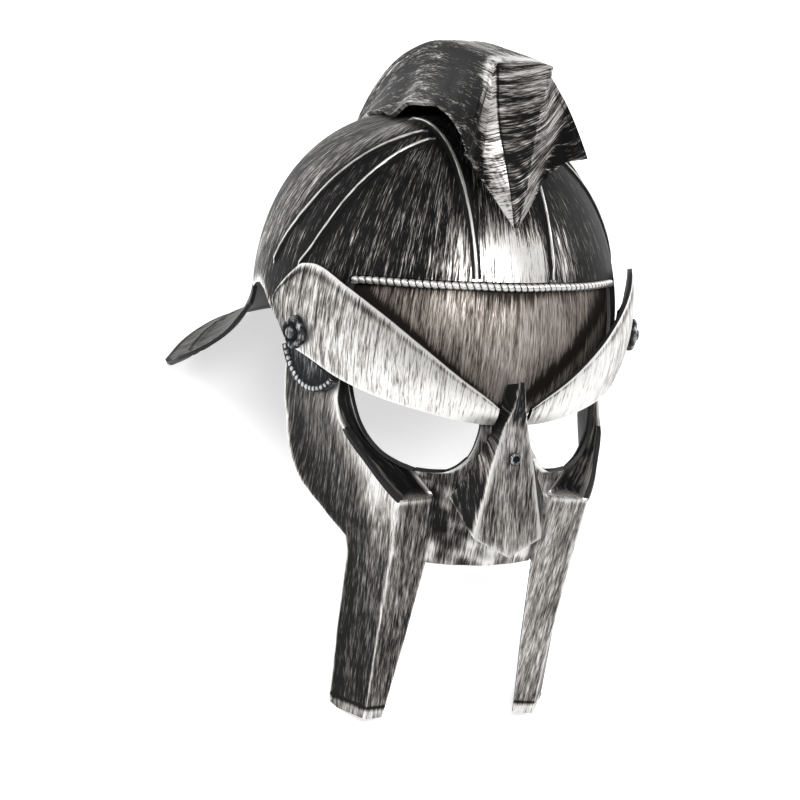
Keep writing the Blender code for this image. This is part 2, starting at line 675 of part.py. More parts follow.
def make_half_disc(name, side, material, parent):
    """Raised half disc at the temple with a beaded border, cut off along the wing above it."""
    columns = 25
    rows = [(0.02, 0.0), (0.4, 0.0), (0.8, 0.0), (0.86, 1.0), (0.95, 1.2), (1.0, 0.3)]
    turns = np.radians(np.linspace(-DISC_REACH, DISC_REACH, columns))
    across = DISC_RADIUS * np.sin(turns)
    angle = DISC_ANGLE + np.degrees(across / DISC_SEAT_RADIUS)
    top_z = np.interp(angle, column(WING_TABLE, 0), column(WING_TABLE, 2)) + DISC_TUCK
    low_z = np.minimum(DISC_Z - DISC_RADIUS * np.cos(turns), top_z - 0.5)
    middle_z = float(top_z[columns // 2])
    points = []
    for radius_share, height in rows:
        turn = DISC_ANGLE + (angle - DISC_ANGLE) * radius_share
        upper = np.interp(turn, angle, top_z)
        z = upper + (low_z - middle_z) * radius_share - (upper - middle_z) * radius_share
        z = np.minimum(z, upper)
        points.append(mask_point(side * turn, z, GAP + DISC_SEAT_GAP + DISC_THICKNESS + height))
    faces = grid_faces(len(rows), columns)
    if side > 0:
        faces = flip(faces)
    piece = add_piece(name, np.concatenate(points), faces, material, parent)
    return add_wall(piece, DISC_THICKNESS)


def make_stud(material, parent):
    """Small round rivet in the middle of the nose guard."""
    upper_z, upper_f = NOSE_TABLE[STUD_ROW][:2]
    lower_z, lower_f = NOSE_TABLE[STUD_ROW + 1][:2]
    share = (upper_z - STUD_Z) / (upper_z - lower_z)
    slope = math.atan2(lower_f - upper_f, upper_z - lower_z)
    centre = np.array([0.0, upper_f + share * (lower_f - upper_f) + STUD_SEAT, STUD_Z])
    outward = np.array([0.0, math.cos(slope), math.sin(slope)])
    up = np.array([0.0, -math.sin(slope), math.cos(slope)])
    across = np.array([1.0, 0.0, 0.0])
    count = 16
    rings = [(1.0, 0.0), (1.0, 0.5), (0.8, 1.0), (0.5, 1.0), (0.35, 0.6)]
    points = []
    for radius_share, height_share in rings:
        for step in range(count):
            turn = 2.0 * math.pi * step / count
            points.append(centre + outward * STUD_HEIGHT * height_share
                          + STUD_RADIUS * radius_share * (math.cos(turn) * up + math.sin(turn) * across))
    faces = grid_faces(len(rings), count, closed=True)
    faces += [tuple(reversed(range(count))), tuple(range(len(points) - count, len(points)))]
    return add_piece("nose_stud", points, flip(faces), material, parent)


# ---------------------------------------------------------------- assembly

def rest_frame():
    """Empty that leans the helmet back until the neck guard and the cheek plates stand on z = 0."""
    lean = math.atan2(REST_GUARD[1] - REST_CHEEK[1], REST_CHEEK[0] - REST_GUARD[0])
    turn = Matrix.Rotation(-lean, 4, "X")
    foot = turn @ Vector((0.0, -REST_CHEEK[0] * MM, REST_CHEEK[1] * MM))
    frame = bpy.data.objects.new("helmet", None)
    bpy.context.collection.objects.link(frame)
    frame.rotation_euler = (-lean, 0.0, 0.0)
    frame.location = (0.0, 0.0, -foot.z)
    return frame


def trim_below_table(piece, cutter):
    """Cut a piece off flat where it meets the table."""
    cut = piece.modifiers.new("foot", "BOOLEAN")
    cut.operation = "DIFFERENCE"
    cut.solver = "EXACT"
    cut.object = cutter


def make_table_cutter():
    """Block under the plane that the helmet rests on."""
    mesh = bpy.data.meshes.new("table_cutter")
    low, high = -0.3, 0.3
    corners = [(x, y, z) for z in (-0.1, 0.0) for y in (low, high) for x in (low, high)]
    faces = [(0, 2, 3, 1), (4, 5, 7, 6), (0, 1, 5, 4), (2, 6, 7, 3), (0, 4, 6, 2), (1, 3, 7, 5)]
    mesh.from_pydata(corners, [], faces)
    cutter = bpy.data.objects.new("table_cutter", mesh)
    cutter.hide_render = True
    cutter.display_type = "WIRE"
    bpy.context.collection.objects.link(cutter)
    return cutter


def centre_in_plan(frame):
    """Shift the helmet so that the middle of its length stands over the origin."""
    bpy.context.view_layer.update()
    graph = bpy.context.evaluated_depsgraph_get()
    reach = []
    for piece in frame.children:
        shape = piece.evaluated_get(graph)
        places = np.zeros(3 * len(shape.data.vertices))
        shape.data.vertices.foreach_get("co", places)
        world = np.array(shape.matrix_world)
        depth = places.reshape(-1, 3) @ world[1, :3] + world[1, 3]
        reach.extend([depth.min(), depth.max()])
    frame.location.y -= 0.5 * (min(reach) + max(reach))


def main():
    for old in list(bpy.data.objects):
        bpy.data.objects.remove(old)
    silver = make_material("plastic_silver")
    dark = make_material("plastic_dark")
    frame = rest_frame()
    make_skull(silver, frame)
    make_rope_edge(silver, frame)
    guard = make_neck_guard(silver, frame)
    make_crest(silver, frame)
    make_forehead(silver, frame)
    mask = make_face_mask(silver, frame)
    make_nose_guard(silver, frame)
    make_stud(dark, frame)
    for side, word in ((1.0, "left"), (-1.0, "right")):
        make_brow_wing(f"brow_wing_{word}", side, silver, frame)
        make_rosette(f"rosette_{word}", side, dark, frame)
        make_half_disc(f"cheek_disc_{word}", side, dark, frame)
    cutter = make_table_cutter()
    trim_below_table(mask, cutter)
    trim_below_table(guard, cutter)
    centre_in_plan(frame)


main()
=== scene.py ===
import math

import bpy
import numpy as np
from bpy.props import FloatProperty, FloatVectorProperty, IntProperty, PointerProperty
from bpy.types import Operator, Panel, PropertyGroup
from mathutils import Matrix, Vector


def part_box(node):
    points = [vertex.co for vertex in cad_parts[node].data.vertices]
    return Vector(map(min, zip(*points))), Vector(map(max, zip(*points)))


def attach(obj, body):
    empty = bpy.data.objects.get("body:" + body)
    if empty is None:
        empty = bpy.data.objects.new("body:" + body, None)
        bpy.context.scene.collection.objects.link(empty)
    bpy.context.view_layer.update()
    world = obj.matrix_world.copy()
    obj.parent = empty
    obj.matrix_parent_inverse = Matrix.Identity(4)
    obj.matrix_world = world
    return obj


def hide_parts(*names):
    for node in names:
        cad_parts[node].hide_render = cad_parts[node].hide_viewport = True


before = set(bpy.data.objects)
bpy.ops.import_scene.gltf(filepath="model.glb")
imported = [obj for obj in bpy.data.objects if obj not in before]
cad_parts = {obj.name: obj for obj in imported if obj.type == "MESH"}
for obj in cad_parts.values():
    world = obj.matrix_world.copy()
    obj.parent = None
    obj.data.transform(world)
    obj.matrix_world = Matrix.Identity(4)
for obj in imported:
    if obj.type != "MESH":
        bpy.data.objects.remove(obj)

bl_info = {
    "name": "Gladiator Helmet",
    "version": (1, 0, 0),
    "blender": (4, 5, 0),
    "location": "View3D > Sidebar > Helmet",
    "description": "Builds a dry-brushed plastic gladiator helmet piece by piece",
    "category": "Add Mesh",
}

MM = 1000.0  # millimetres in a metre
SIDES = ((1.0, "left"), (-1.0, "right"))
MIRROR = np.array([-1.0, 1.0, 1.0])

# Every length and table is in millimetres and degrees in the helmet's own frame:
# x to the wearer's left, f forward, z up, angles about the upright axis from the front.
REAR_SLOPE_START = 30.0  # f where the dome's top starts to fall away from its ellipsoid
REAR_SLOPE_LENGTH = 50.0
REAR_SLOPE_DROP = 10.0
ROPE_END = 54.5  # angle
GUARD_REACH = 104.9  # the furthest that the neck guard stands out to the side
NOSE_FOLD = 0.3  # how far the nose guard's middle line stands before its corners
NOSE_TIP_DROP = 8.0
NOSE_TIP_RISE = 3.3
TIP_BAND = -187.0  # z of the dark line over the pale lower ends of the cheek plates
LIP_LOW = -107.5  # z of the mask's levels, from the lower edge of the lip up
LEDGE_LOW = -72.2
EYE_FLOOR = -60.6
EYE_TOP = -29.5
CREST_CAP = 2.5  # rounding of the crest's front edge at its top
FACE_STEPS = 24  # steps across the crest's front face
DISC_ANGLE = 60.5
DISC_Z = -17.5
DISC_WALL = 2.5
DISC_STAND = 0.9  # distance from the mask to the back of a disc
BEAD_PITCH = 3.2
ROSETTE_ANGLE = 66.3
ROSETTE_Z = -9.4
ROSETTE_STAND = 8.1  # distance from the dome's ellipsoid to the foot of a rosette
ROSETTE_HEIGHT = 5.0
STUD_RADIUS = 3.0
STUD_HEIGHT = 2.0

# Brush strokes have coordinates of their own, which the looks draw out along the third.
STROKE_MM = 0.1  # units of a millimetre
STROKE_TURN = 10.5  # units of a turn by one radian

RIM = [  # angle, z
    (0.0, 33.4), (12.0, 33.1), (24.0, 31.6), (39.0, 28.6), (50.0, 25.4), (55.5, 23.1),
    (58.5, -13.0), (70.0, -14.0), (78.0, -15.0), (83.0, -13.5), (88.0, -9.5), (93.0, -5.5),
    (98.0, -5.0), (102.0, -7.5), (107.5, -13.0), (116.0, -16.0), (180.0, -16.0),
]
RIBS = [  # x, f of the centre line of each rib of one side
    [(19.4, 97.2), (19.3, 80.0), (19.3, 60.0), (20.0, 42.0), (22.0, 28.0), (26.0, 4.0)],
    [(24.0, 36.0), (40.3, 34.5), (56.3, 34.3), (69.0, 33.5), (76.5, 31.0), (81.5, 25.5)],
    [(25.5, 29.0), (38.0, 25.0), (58.5, 18.0), (74.1, 11.6), (81.8, 4.6), (85.0, 0.5)],
]
GUARD = [  # angle, flare, z of the edge
    (108.0, 1.0, -22.0), (112.0, 12.0, -42.0), (118.0, 30.0, -60.0), (127.0, 45.0, -73.0),
    (136.0, 44.0, -68.0), (150.0, 38.0, -59.5), (180.0, 32.0, -56.0),
]
WING = [  # angle, z of the top edge, z of the bottom edge
    (5.0, -22.6, -32.5), (8.0, -18.6, -32.6), (16.0, -10.0, -31.6), (28.0, 2.8, -29.4),
    (40.0, 13.5, -27.4), (52.0, 20.9, -24.4), (63.0, 25.2, -20.2), (68.5, 23.0, -19.0),
    (72.0, 16.5, -17.0), (75.5, 7.5, -12.0), (77.3, 1.0, -5.0),
]
MASK_SIDE = [(-200.0, 89.0), (-100.0, 86.0), (-60.0, 81.5), (-20.0, 83.5)]  # z, radius at the side
MASK_FRONT = [  # z, radius in front
    (-200.0, 94.7), (-109.0, 104.0), (-73.0, 110.0), (-50.0, 112.5), (-33.0, 106.0), (-15.0, 102.0),
]
MASK_TOP = [  # angle, z
    (0.0, -29.0), (6.0, -25.0), (18.0, -21.5), (32.0, -19.5), (44.0, -17.0), (50.0, -15.6),
    (64.0, -15.8), (70.5, -17.4),
]
MASK_OUTER = [  # z, angle
    (-193.0, 37.8), (-147.6, 37.9), (-110.4, 37.6), (-103.1, 38.7), (-99.5, 42.0), (-93.0, 48.8),
    (-85.7, 58.6), (-78.0, 65.0), (-66.5, 70.5), (-53.0, 74.3), (-39.0, 75.5), (-29.0, 75.0), (-22.0, 73.0),
]
MASK_INNER = [  # z, angle
    (-193.6, 21.1), (-150.0, 17.8), (LIP_LOW, 15.3), (LEDGE_LOW, 15.3), (EYE_FLOOR, 21.5),
]
# Plates, lip, ledge, eyes and brow.
MASK_ROWS = [  # lowest z, highest z, number of rows, how much they crowd low down
    (-192.8, LIP_LOW, 70, 1.0), (LIP_LOW, LEDGE_LOW, 34, 1.0), (LEDGE_LOW, EYE_FLOOR, 16, 1.0),
    (EYE_FLOOR, EYE_TOP, 46, 1.7), (EYE_TOP, -22.0, 8, 1.0),
]
RIDGE = [  # z, angle, height
    (-192.8, 25.8, 8.0), (-150.0, 25.1, 10.5), (-110.0, 24.4, 13.5), (-71.5, 23.7, 16.0),
    (-63.9, 29.4, 12.0), (-57.3, 34.3, 8.5), (-50.6, 40.0, 6.0), (-45.5, 44.3, 4.0), (-38.0, 47.4, 2.5),
    (-30.0, 47.8, 1.0),
]
EYE_OUT = [  # z, angle of the cheek side of the eye hole
    (-60.6, 21.5), (-59.8, 24.5), (-56.6, 30.5), (-49.7, 36.0), (-41.3, 40.2), (-28.5, 44.0), (-23.5, 44.6),
]
EYE_IN = [  # z, angle of the nose side of the eye hole
    (-60.6, 21.5), (-60.3, 19.1), (-58.6, 14.0), (-52.5, 10.0), (-43.7, 7.3), (-34.0, 6.0), (-29.5, 6.0),
]
NOSE = [  # z, f, half width of the corner; z, f, half width at the back
    (-8.5, 122.0, 1.2, -13.5, 110.0, 2.4), (-20.0, 123.5, 2.8, -24.0, 110.5, 3.8),
    (-29.5, 121.8, 5.6, -34.5, 111.0, 6.0), (-50.0, 125.3, 10.5, -47.0, 114.0, 13.5),
    (-68.0, 128.0, 14.0, -59.0, 113.0, 18.5), (-83.2, 130.0, 17.0, -69.5, 111.0, 24.0),
]
CREASE = [  # half width, f, z up the edge of the crest's front face
    (1.2, 90.0, 56.8), (4.0, 87.3, 71.6), (7.0, 81.4, 87.2), (10.0, 76.0, 101.6), (12.0, 74.2, 112.6),
    (13.5, 73.8, 123.0), (14.5, 73.6, 129.0),
]
CREASE_SHARES = (0.0, 0.12, 0.28, 0.46, 0.64, 0.82, 1.0)
CREST = [  # top half width, top f, top z, skirt half width, skirt f, skirt z, hollow of the side
    (14.8, 72.5, 131.4, 16.2, 78.5, 77.0, 0.85), (14.8, 71.2, 131.6, 23.2, 82.5, 86.7, 0.82),
    (14.8, 70.0, 131.5, 30.3, 92.0, 91.6, 0.80), (14.6, 60.0, 130.8, 30.3, 80.0, 98.5, 0.85),
    (14.4, 45.0, 129.3, 30.0, 63.0, 102.2, 1.00), (14.0, 27.0, 127.3, 29.5, 45.0, 102.8, 1.40),
    (13.6, 6.0, 124.8, 29.0, 25.0, 98.5, 1.60), (13.2, -16.0, 120.0, 28.5, 4.0, 93.0, 1.70),
    (12.8, -38.0, 111.5, 28.0, -17.0, 0.0, 1.70), (12.2, -60.0, 100.3, 26.5, -38.0, 0.0, 1.70),
    (11.6, -80.0, 86.0, 24.5, -57.0, 0.0, 1.70), (11.0, -96.0, 71.0, 22.0, -72.0, 0.0, 1.70),
    (10.3, -109.0, 55.0, 19.0, -82.0, 0.0, 1.70), (9.5, -117.0, 38.0, 16.0, -89.0, 0.0, 1.70),
]
FRONT_RIM = RIM[:6]
RIB_PROFILE = np.array([  # share of the half width, share of the height
    (-1.0, -0.3), (-0.94, 0.12), (-0.5, 0.14), (-0.38, 0.6), (-0.2, 0.95), (0.0, 1.0),
    (0.2, 0.95), (0.38, 0.6), (0.5, 0.14), (0.94, 0.12), (1.0, -0.3),
])
STUD = np.array([  # share of the radius, share of the height, wear
    (1.0, 0.0, -0.3), (1.0, 0.35, 0.1), (0.93, 0.75, 0.5), (0.78, 0.98, 0.6), (0.6, 1.0, 0.5),
    (0.46, 0.75, 0.1), (0.4, 0.45, -0.4), (0.2, 0.4, -0.5),
])
ROSETTE = np.array([  # share of the radius, share of the height, wear
    (1.0, 0.0, -0.2), (1.0, 0.3, 0.1), (0.96, 0.5, 0.45), (0.86, 0.66, 0.5), (0.74, 0.72, 0.35),
    (0.62, 0.62, 0.0), (0.5, 0.5, -0.35), (0.42, 0.6, -0.2), (0.36, 0.85, 0.3), (0.28, 1.0, 0.5),
    (0.16, 1.05, 0.5), (0.06, 1.06, 0.4),
])


def column(table, index):
    """One column of a table, as an array."""
    return np.array([row[index] for row in table])


def numbered(table):
    """The table with each row's number before its columns."""
    return [(number, *row) for number, row in enumerate(table)]


def curve(x, table, index=1):
    """Smooth curve through a table's rows that never overshoots them, held level past both ends."""
    places = column(table, 0)
    values = column(table, index)
    rise = np.diff(values) / np.diff(places)
    slope = np.concatenate([rise[:1], np.zeros(len(rise) - 1), rise[-1:]])
    same = rise[1:] * rise[:-1] > 0.0
    total = np.where(same, rise[1:] + rise[:-1], 1.0)
    slope[1:-1] = np.where(same, 2.0 * rise[1:] * rise[:-1] / total, 0.0)
    x = np.clip(x, places[0], places[-1])
    at = np.clip(np.searchsorted(places, x, side="right") - 1, 0, len(rise) - 1)
    span = places[at + 1] - places[at]
    t = (x - places[at]) / span
    low = values[at] * (1.0 + 2.0 * t) * (1.0 - t) ** 2 + slope[at] * span * t * (1.0 - t) ** 2
    high = values[at + 1] * t * t * (3.0 - 2.0 * t) + slope[at + 1] * span * t * t * (t - 1.0)
    return low + high


def straight(x, table, index=1):
    """Straight lines between a table's rows."""
    return np.interp(x, column(table, 0), column(table, index))


def bump(x, centre, width):
    """Rounded rise of height 1 around a place."""
    return np.exp(-((x - centre) / width) ** 2)

def rising(x, start, end):
    """Straight rise from 0 at the start to 1 at the end, level outside them; the end may be the lower one."""
    return np.clip((x - start) / (end - start), 0.0, 1.0)


def touched(base, *touches):
    """Even base plus rounded touches, each an amount, a measure, and that measure's centre and width."""
    return base + sum(amount * bump(measure, centre, width) for amount, measure, centre, width in touches)


def joined(*axes):
    """Rows of three from three arrays or numbers that fit one another."""
    return np.stack(np.broadcast_arrays(*axes), axis=-1).reshape(-1, 3)


def upright(angle, seed, along):
    """Strokes that run up and down over the angle; the seed keeps neighbouring pieces apart."""
    return joined(np.radians(angle) * STROKE_TURN, seed, along)


class Skull:
    """Ellipsoid of the skull in the helmet's frame, with the helmet's stand in the row frame."""

    def __init__(self, settings):
        self.a = MM * settings.half_width
        self.b = MM * settings.half_length
        self.h = MM * settings.half_height
        self.drop = MM * settings.centre_drop
        self.wall = MM * settings.wall
        self.lean = settings.lean
        cos, sin = math.cos(self.lean), math.sin(self.lean)
        low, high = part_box("nose_guard")
        first, last = NOSE[0], NOSE[-1]
        self.rise = MM * high.z - (first[1] + NOSE_FOLD) * sin - first[0] * cos
        tip_f = last[1] + NOSE_FOLD + NOSE_TIP_RISE
        self.back = MM * low.y + tip_f * cos - (last[0] - NOSE_TIP_DROP) * sin

    def place(self, points):
        """Row frame, in metres, of points of the helmet's frame."""
        x, f, z = np.moveaxis(np.asarray(points, float), -1, 0)
        cos, sin = math.cos(self.lean), math.sin(self.lean)
        y = -f * cos + z * sin + self.back
        up = f * sin + z * cos + self.rise
        return np.stack([x, y, up], axis=-1) / MM

    def turn(self, direction):
        """Row frame of a direction of the helmet's frame."""
        x, f, z = direction
        cos, sin = math.cos(self.lean), math.sin(self.lean)
        return Vector((x, -f * cos + z * sin, f * sin + z * cos))

    def at(self, angle, z, out=0.0):
        """Point at an angle from the front and a height, a stand-off outside the ellipsoid."""
        share = (z + self.drop) / (self.h + out)
        plan = np.sqrt(np.clip(1.0 - share * share, 0.0, 1.0))
        turn = np.radians(angle)
        x = (self.a + out) * plan * np.sin(turn)
        f = (self.b + out) * plan * np.cos(turn)
        return np.stack(np.broadcast_arrays(x, f, z), axis=-1)

    def slope(self, f, z):
        """How far the rear of the skull's top lies under the ellipsoid."""
        back = np.clip((REAR_SLOPE_START - f) / REAR_SLOPE_LENGTH, 0.0, 1.0)
        high = np.clip((z + self.drop) / self.h, 0.0, 1.0)
        return REAR_SLOPE_DROP * back ** 2 * (3.0 - 2.0 * back) * high ** 3

    def over(self, x, f, out=0.0):
        """Height of the skull over a point of its plan."""
        share = 1.0 - (x / (self.a + out)) ** 2 - (f / (self.b + out)) ** 2
        z = (self.h + out) * np.sqrt(np.clip(share, 0.0, 1.0)) - self.drop
        return z - self.slope(f, z)

    def normal(self, points):
        """Outward direction of the ellipsoid at points on it."""
        centred = points + np.array([0.0, 0.0, self.drop])
        way = centred / np.array([self.a, self.b, self.h]) ** 2
        return way / np.linalg.norm(way, axis=-1, keepdims=True)


# ---------------------------------------------------------------- meshes and materials

def grid(rows, columns, closed=False, first=0, flip=False):
    """Four-sided faces of points stored row by row."""
    last = columns if closed else columns - 1
    row, place = np.meshgrid(np.arange(rows - 1), np.arange(last), indexing="ij")
    a = first + row * columns + place
    b = first + row * columns + (place + 1) % columns
    faces = np.stack([a, b, b + columns, a + columns], axis=-1).reshape(-1, 4)
    return faces[:, ::-1] if flip else faces


def fan(ring, centre, flip=False):
    """Triangles from a closed ring of points to one point."""
    ring = np.asarray(ring)
    faces = np.stack([ring, np.roll(ring, -1), np.full(len(ring), centre)], axis=-1)
    return faces[:, ::-1] if flip else faces


def thicken(points, faces, wall):
    """Outer sheet, the same sheet pushed inwards along its normals, and a rim round every open edge,
    with the number of inner faces and of rim faces."""
    count = len(points)
    normals = np.zeros_like(points)
    starts, ends = [], []
    for block in faces:
        corners = points[block]
        area = np.cross(corners[:, 2] - corners[:, 0], corners[:, -1] - corners[:, 1])
        for place in range(block.shape[1]):
            np.add.at(normals, block[:, place], area)
        starts.append(block.ravel())
        ends.append(np.roll(block, -1, axis=1).ravel())
    normals /= np.linalg.norm(normals, axis=1, keepdims=True)
    start, end = np.concatenate(starts), np.concatenate(ends)
    free = ~np.isin(start * count + end, end * count + start)
    start, end = start[free], end[free]
    rim = np.stack([end, start, start + count, end + count], axis=1)
    inner = [block[:, ::-1] + count for block in faces]
    both = np.vstack([points, points - wall * normals])
    return both, list(faces) + [rim] + inner, sum(map(len, inner)), len(rim)


def make_piece(skull, name, points, faces, strokes, wear_and_painted_light, look, wall=0.0, replaces=(), sharp=40.0,
               dark_rim=False):
    """Object from points of the helmet's frame, with its wall, brush strokes, wear and painted light, look
    and slot. The inner faces stay bare, and the rim as well when it is dark."""
    mesh = bpy.data.meshes.new(name)
    place = skull.place(points)
    bare = 0
    if wall > 0.0:
        place, faces, bare, rim = thicken(place, faces, wall / MM)
        bare += rim if dark_rim else 0
        strokes = np.vstack([strokes, strokes])
        wear_and_painted_light = np.concatenate([wear_and_painted_light, wear_and_painted_light])
    lists = [face for block in faces for face in block.tolist()]
    # Rounded lower edges end level with the floor that the helmet stands on.
    place[:, 2] = np.maximum(place[:, 2], 0.0)
    mesh.from_pydata(place.tolist(), [], lists)
    stroke = mesh.attributes.new("stroke", "FLOAT_VECTOR", "POINT")
    stroke.data.foreach_set("vector", np.ascontiguousarray(strokes, dtype=np.float32).ravel())
    worn_and_lit = mesh.attributes.new("wear_and_painted_light", "FLOAT", "POINT")
    worn_and_lit.data.foreach_set("value", np.ascontiguousarray(wear_and_painted_light, dtype=np.float32).ravel())
    mesh.materials.append(look)
    mesh.shade_smooth()
    mesh.set_sharp_from_angle(angle=math.radians(sharp))
    piece = bpy.data.objects.new(name, mesh)
    bpy.context.scene.collection.objects.link(piece)
    if wall > 0.0:
        mesh.materials.append(inside_look())
        side = np.zeros(len(lists), dtype=np.int32)
        side[len(lists) - bare:] = 1
        mesh.polygons.foreach_set("material_index", side)
    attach(piece, "root")
    if replaces:
        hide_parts(*replaces)


def node(tree, kind, **inputs):
    """Shader node with constants on its own sockets."""
    made = tree.nodes.new(kind)
    for key, value in inputs.items():
        made.inputs[key.replace("_", " ")].default_value = value
    return made


def maths(tree, operation, first, second):
    """Sum, product or other operation of two values, each a socket or a number."""
    made = tree.nodes.new("ShaderNodeMath")
    made.operation = operation
    for index, value in enumerate((first, second)):
        if isinstance(value, (int, float)):
            made.inputs[index].default_value = value
        else:
            tree.links.new(value, made.inputs[index])
    return made.outputs[0]


def streaks(tree, across, along, seed):
    """Noise drawn out along the brush strokes."""
    stroke = tree.nodes.new("ShaderNodeAttribute")
    stroke.attribute_name = "stroke"
    scaled = tree.nodes.new("ShaderNodeMapping")
    scaled.inputs["Scale"].default_value = (across, across, along)
    scaled.inputs["Location"].default_value = (seed, 1.7 * seed, 0.6 * seed)
    tree.links.new(stroke.outputs["Vector"], scaled.inputs["Vector"])
    noise = node(tree, "ShaderNodeTexNoise", Scale=1.0, Detail=3.0, Roughness=0.6)
    tree.links.new(scaled.outputs["Vector"], noise.inputs["Vector"])
    return noise.outputs["Fac"]


def ramp(tree, value, stops):
    """Colour read from stops of (place, colour) at a value."""
    made = tree.nodes.new("ShaderNodeValToRGB")
    elements = made.color_ramp.elements
    for place, colour in stops[1:-1]:
        elements.new(place)
    for element, (place, colour) in zip(elements, stops):
        element.position = place
        element.color = (*colour, 1.0)
    tree.links.new(value, made.inputs["Fac"])
    return made.outputs["Color"]


def brushed_look(name, base, bright, dull, cover, contrast=1.0):
    """Black plastic under dry-brushed metallic paint that catches the raised edges."""
    if name in bpy.data.materials:
        return bpy.data.materials[name]
    look = bpy.data.materials.new(name)
    look.use_nodes = True
    tree = look.node_tree
    shader = tree.nodes["Principled BSDF"]
    shader.inputs["Specular IOR Level"].default_value = 0.06
    # The attribute read here holds the paint's wear together with painted highlights and painted shade.
    wear_and_painted_light = tree.nodes.new("ShaderNodeAttribute")
    wear_and_painted_light.attribute_name = "wear_and_painted_light"
    place = tree.nodes.new("ShaderNodeTexCoord")
    patches = node(tree, "ShaderNodeTexNoise", Scale=26.0, Detail=2.0, Roughness=0.5)
    tree.links.new(place.outputs["Object"], patches.inputs["Vector"])
    wide = streaks(tree, 3.4, 0.32, 3.0)
    fine = streaks(tree, 11.0, 0.8, 8.0)
    hair = streaks(tree, 24.0, 1.8, 14.0)
    paint = maths(tree, "ADD", maths(tree, "MULTIPLY", wide, 0.8), maths(tree, "MULTIPLY", fine, 1.4))
    paint = maths(tree, "ADD", paint, maths(tree, "MULTIPLY", hair, 1.6))
    paint = maths(tree, "ADD", paint, maths(tree, "MULTIPLY", patches.outputs["Fac"], 0.7))
    paint = maths(tree, "MULTIPLY", maths(tree, "SUBTRACT", paint, 2.25), contrast)
    paint = maths(tree, "ADD", paint, cover)
    paint = maths(tree, "ADD", paint, wear_and_painted_light.outputs["Fac"])
    thin = [0.35 * value for value in dull]
    tint = ramp(tree, paint, [(0.26, base), (0.46, thin), (0.66, dull), (0.95, bright)])
    share = ramp(tree, paint, [(0.34, (0.0, 0.0, 0.0)), (0.80, (1.0, 1.0, 1.0))])
    tree.links.new(tint, shader.inputs["Base Color"])
    tree.links.new(maths(tree, "MULTIPLY", share, 0.8), shader.inputs["Metallic"])
    rough = maths(tree, "SUBTRACT", 0.5, maths(tree, "MULTIPLY", share, 0.14))
    tree.links.new(rough, shader.inputs["Roughness"])
    relief = node(tree, "ShaderNodeBump", Strength=0.4, Distance=0.0002)
    tree.links.new(share, relief.inputs["Height"])
    tree.links.new(relief.outputs["Normal"], shader.inputs["Normal"])
    return look


def silver_look():
    """Dry-brushed antique silver."""
    bright = bpy.context.scene.helmet_paint.silver
    return brushed_look("antique silver", (0.008, 0.008, 0.008), bright, (0.250, 0.232, 0.218), 0.44)


def fine_look():
    """The same paint in softer contrast, as it lies on the half mask."""
    bright = bpy.context.scene.helmet_paint.mask
    return brushed_look("fine silver", (0.006, 0.006, 0.006), bright, (0.225, 0.210, 0.198), 0.52, 0.7)


def bold_look():
    """The same paint in stronger contrast, as it lies on the dome and the crest."""
    bright = bpy.context.scene.helmet_paint.dome
    return brushed_look("bold silver", (0.003, 0.003, 0.003), bright, (0.240, 0.222, 0.208), 0.42, 1.35)


def warm_look():
    """The same paint, softer and browner, as it lies on the forehead."""
    bright = bpy.context.scene.helmet_paint.forehead
    return brushed_look("warm silver", (0.010, 0.008, 0.007), bright, (0.25, 0.218, 0.190), 0.36, 0.8)


def grey_look():
    """Even grey of the neck guard."""
    bright = bpy.context.scene.helmet_paint.guard
    return brushed_look("even grey", (0.008, 0.008, 0.008), bright, (0.22, 0.212, 0.20), 0.35, 0.45)


def rivet_look():
    """Darker brushed grey of the rivets and the temple discs."""
    bright = bpy.context.scene.helmet_paint.rivets
    return brushed_look("rivet grey", (0.008, 0.009, 0.010), bright, (0.14, 0.143, 0.15), 0.08)


def inside_look():
    """Unpainted black plastic of the inner faces."""
    if "black plastic" in bpy.data.materials:
        return bpy.data.materials["black plastic"]
    look = bpy.data.materials.new("black plastic")
    look.use_nodes = True
    tree = look.node_tree
    shader = tree.nodes["Principled BSDF"]
    shader.inputs["Base Color"].default_value = (*bpy.context.scene.helmet_paint.plastic, 1.0)
    shader.inputs["Specular IOR Level"].default_value = 0.15
    place = tree.nodes.new("ShaderNodeTexCoord")
    grain = node(tree, "ShaderNodeTexNoise", Scale=900.0, Detail=2.0)
    tree.links.new(place.outputs["Object"], grain.inputs["Vector"])
    rough = maths(tree, "ADD", maths(tree, "MULTIPLY", grain.outputs["Fac"], 0.2), 0.38)
    tree.links.new(rough, shader.inputs["Roughness"])
    return look


# ---------------------------------------------------------------- settings

def length(name, description, millimetres):
    """Property for a length, stored in metres."""
    return FloatProperty(name=name, description=description, default=millimetres / MM, min=0.0,
                         precision=4, unit="LENGTH", subtype="DISTANCE")


def colour(name, description, value):
    """Property for a colour."""
    return FloatVectorProperty(name=name, description=description, default=value, min=0.0, max=1.0,
                               size=3, subtype="COLOR")


class HELMET_PG_skull(PropertyGroup):
    """Sizes of the skull and of the helmet's stand."""
    half_width: length("Half width", "Half the width of the skull's ellipsoid", 86.5)
    half_length: length("Half length", "Half the length of the skull's ellipsoid", 110.5)
    half_height: length("Half height", "Half the height of the skull's ellipsoid", 103.4)
    centre_drop: length("Centre drop", "How far the ellipsoid's centre lies under the helmet's origin", 9.5)
    lean: FloatProperty(name="Lean", description="How far the standing helmet leans back",
                        default=0.559142, unit="ROTATION", subtype="ANGLE")
    wall: length("Wall", "Wall of the moulded shells", 2.0)
    rib_width: length("Rib width", "Half the width of a rib with its grooves", 2.3)
    rib_height: length("Rib height", "Height of a rib above the skull", 1.5)


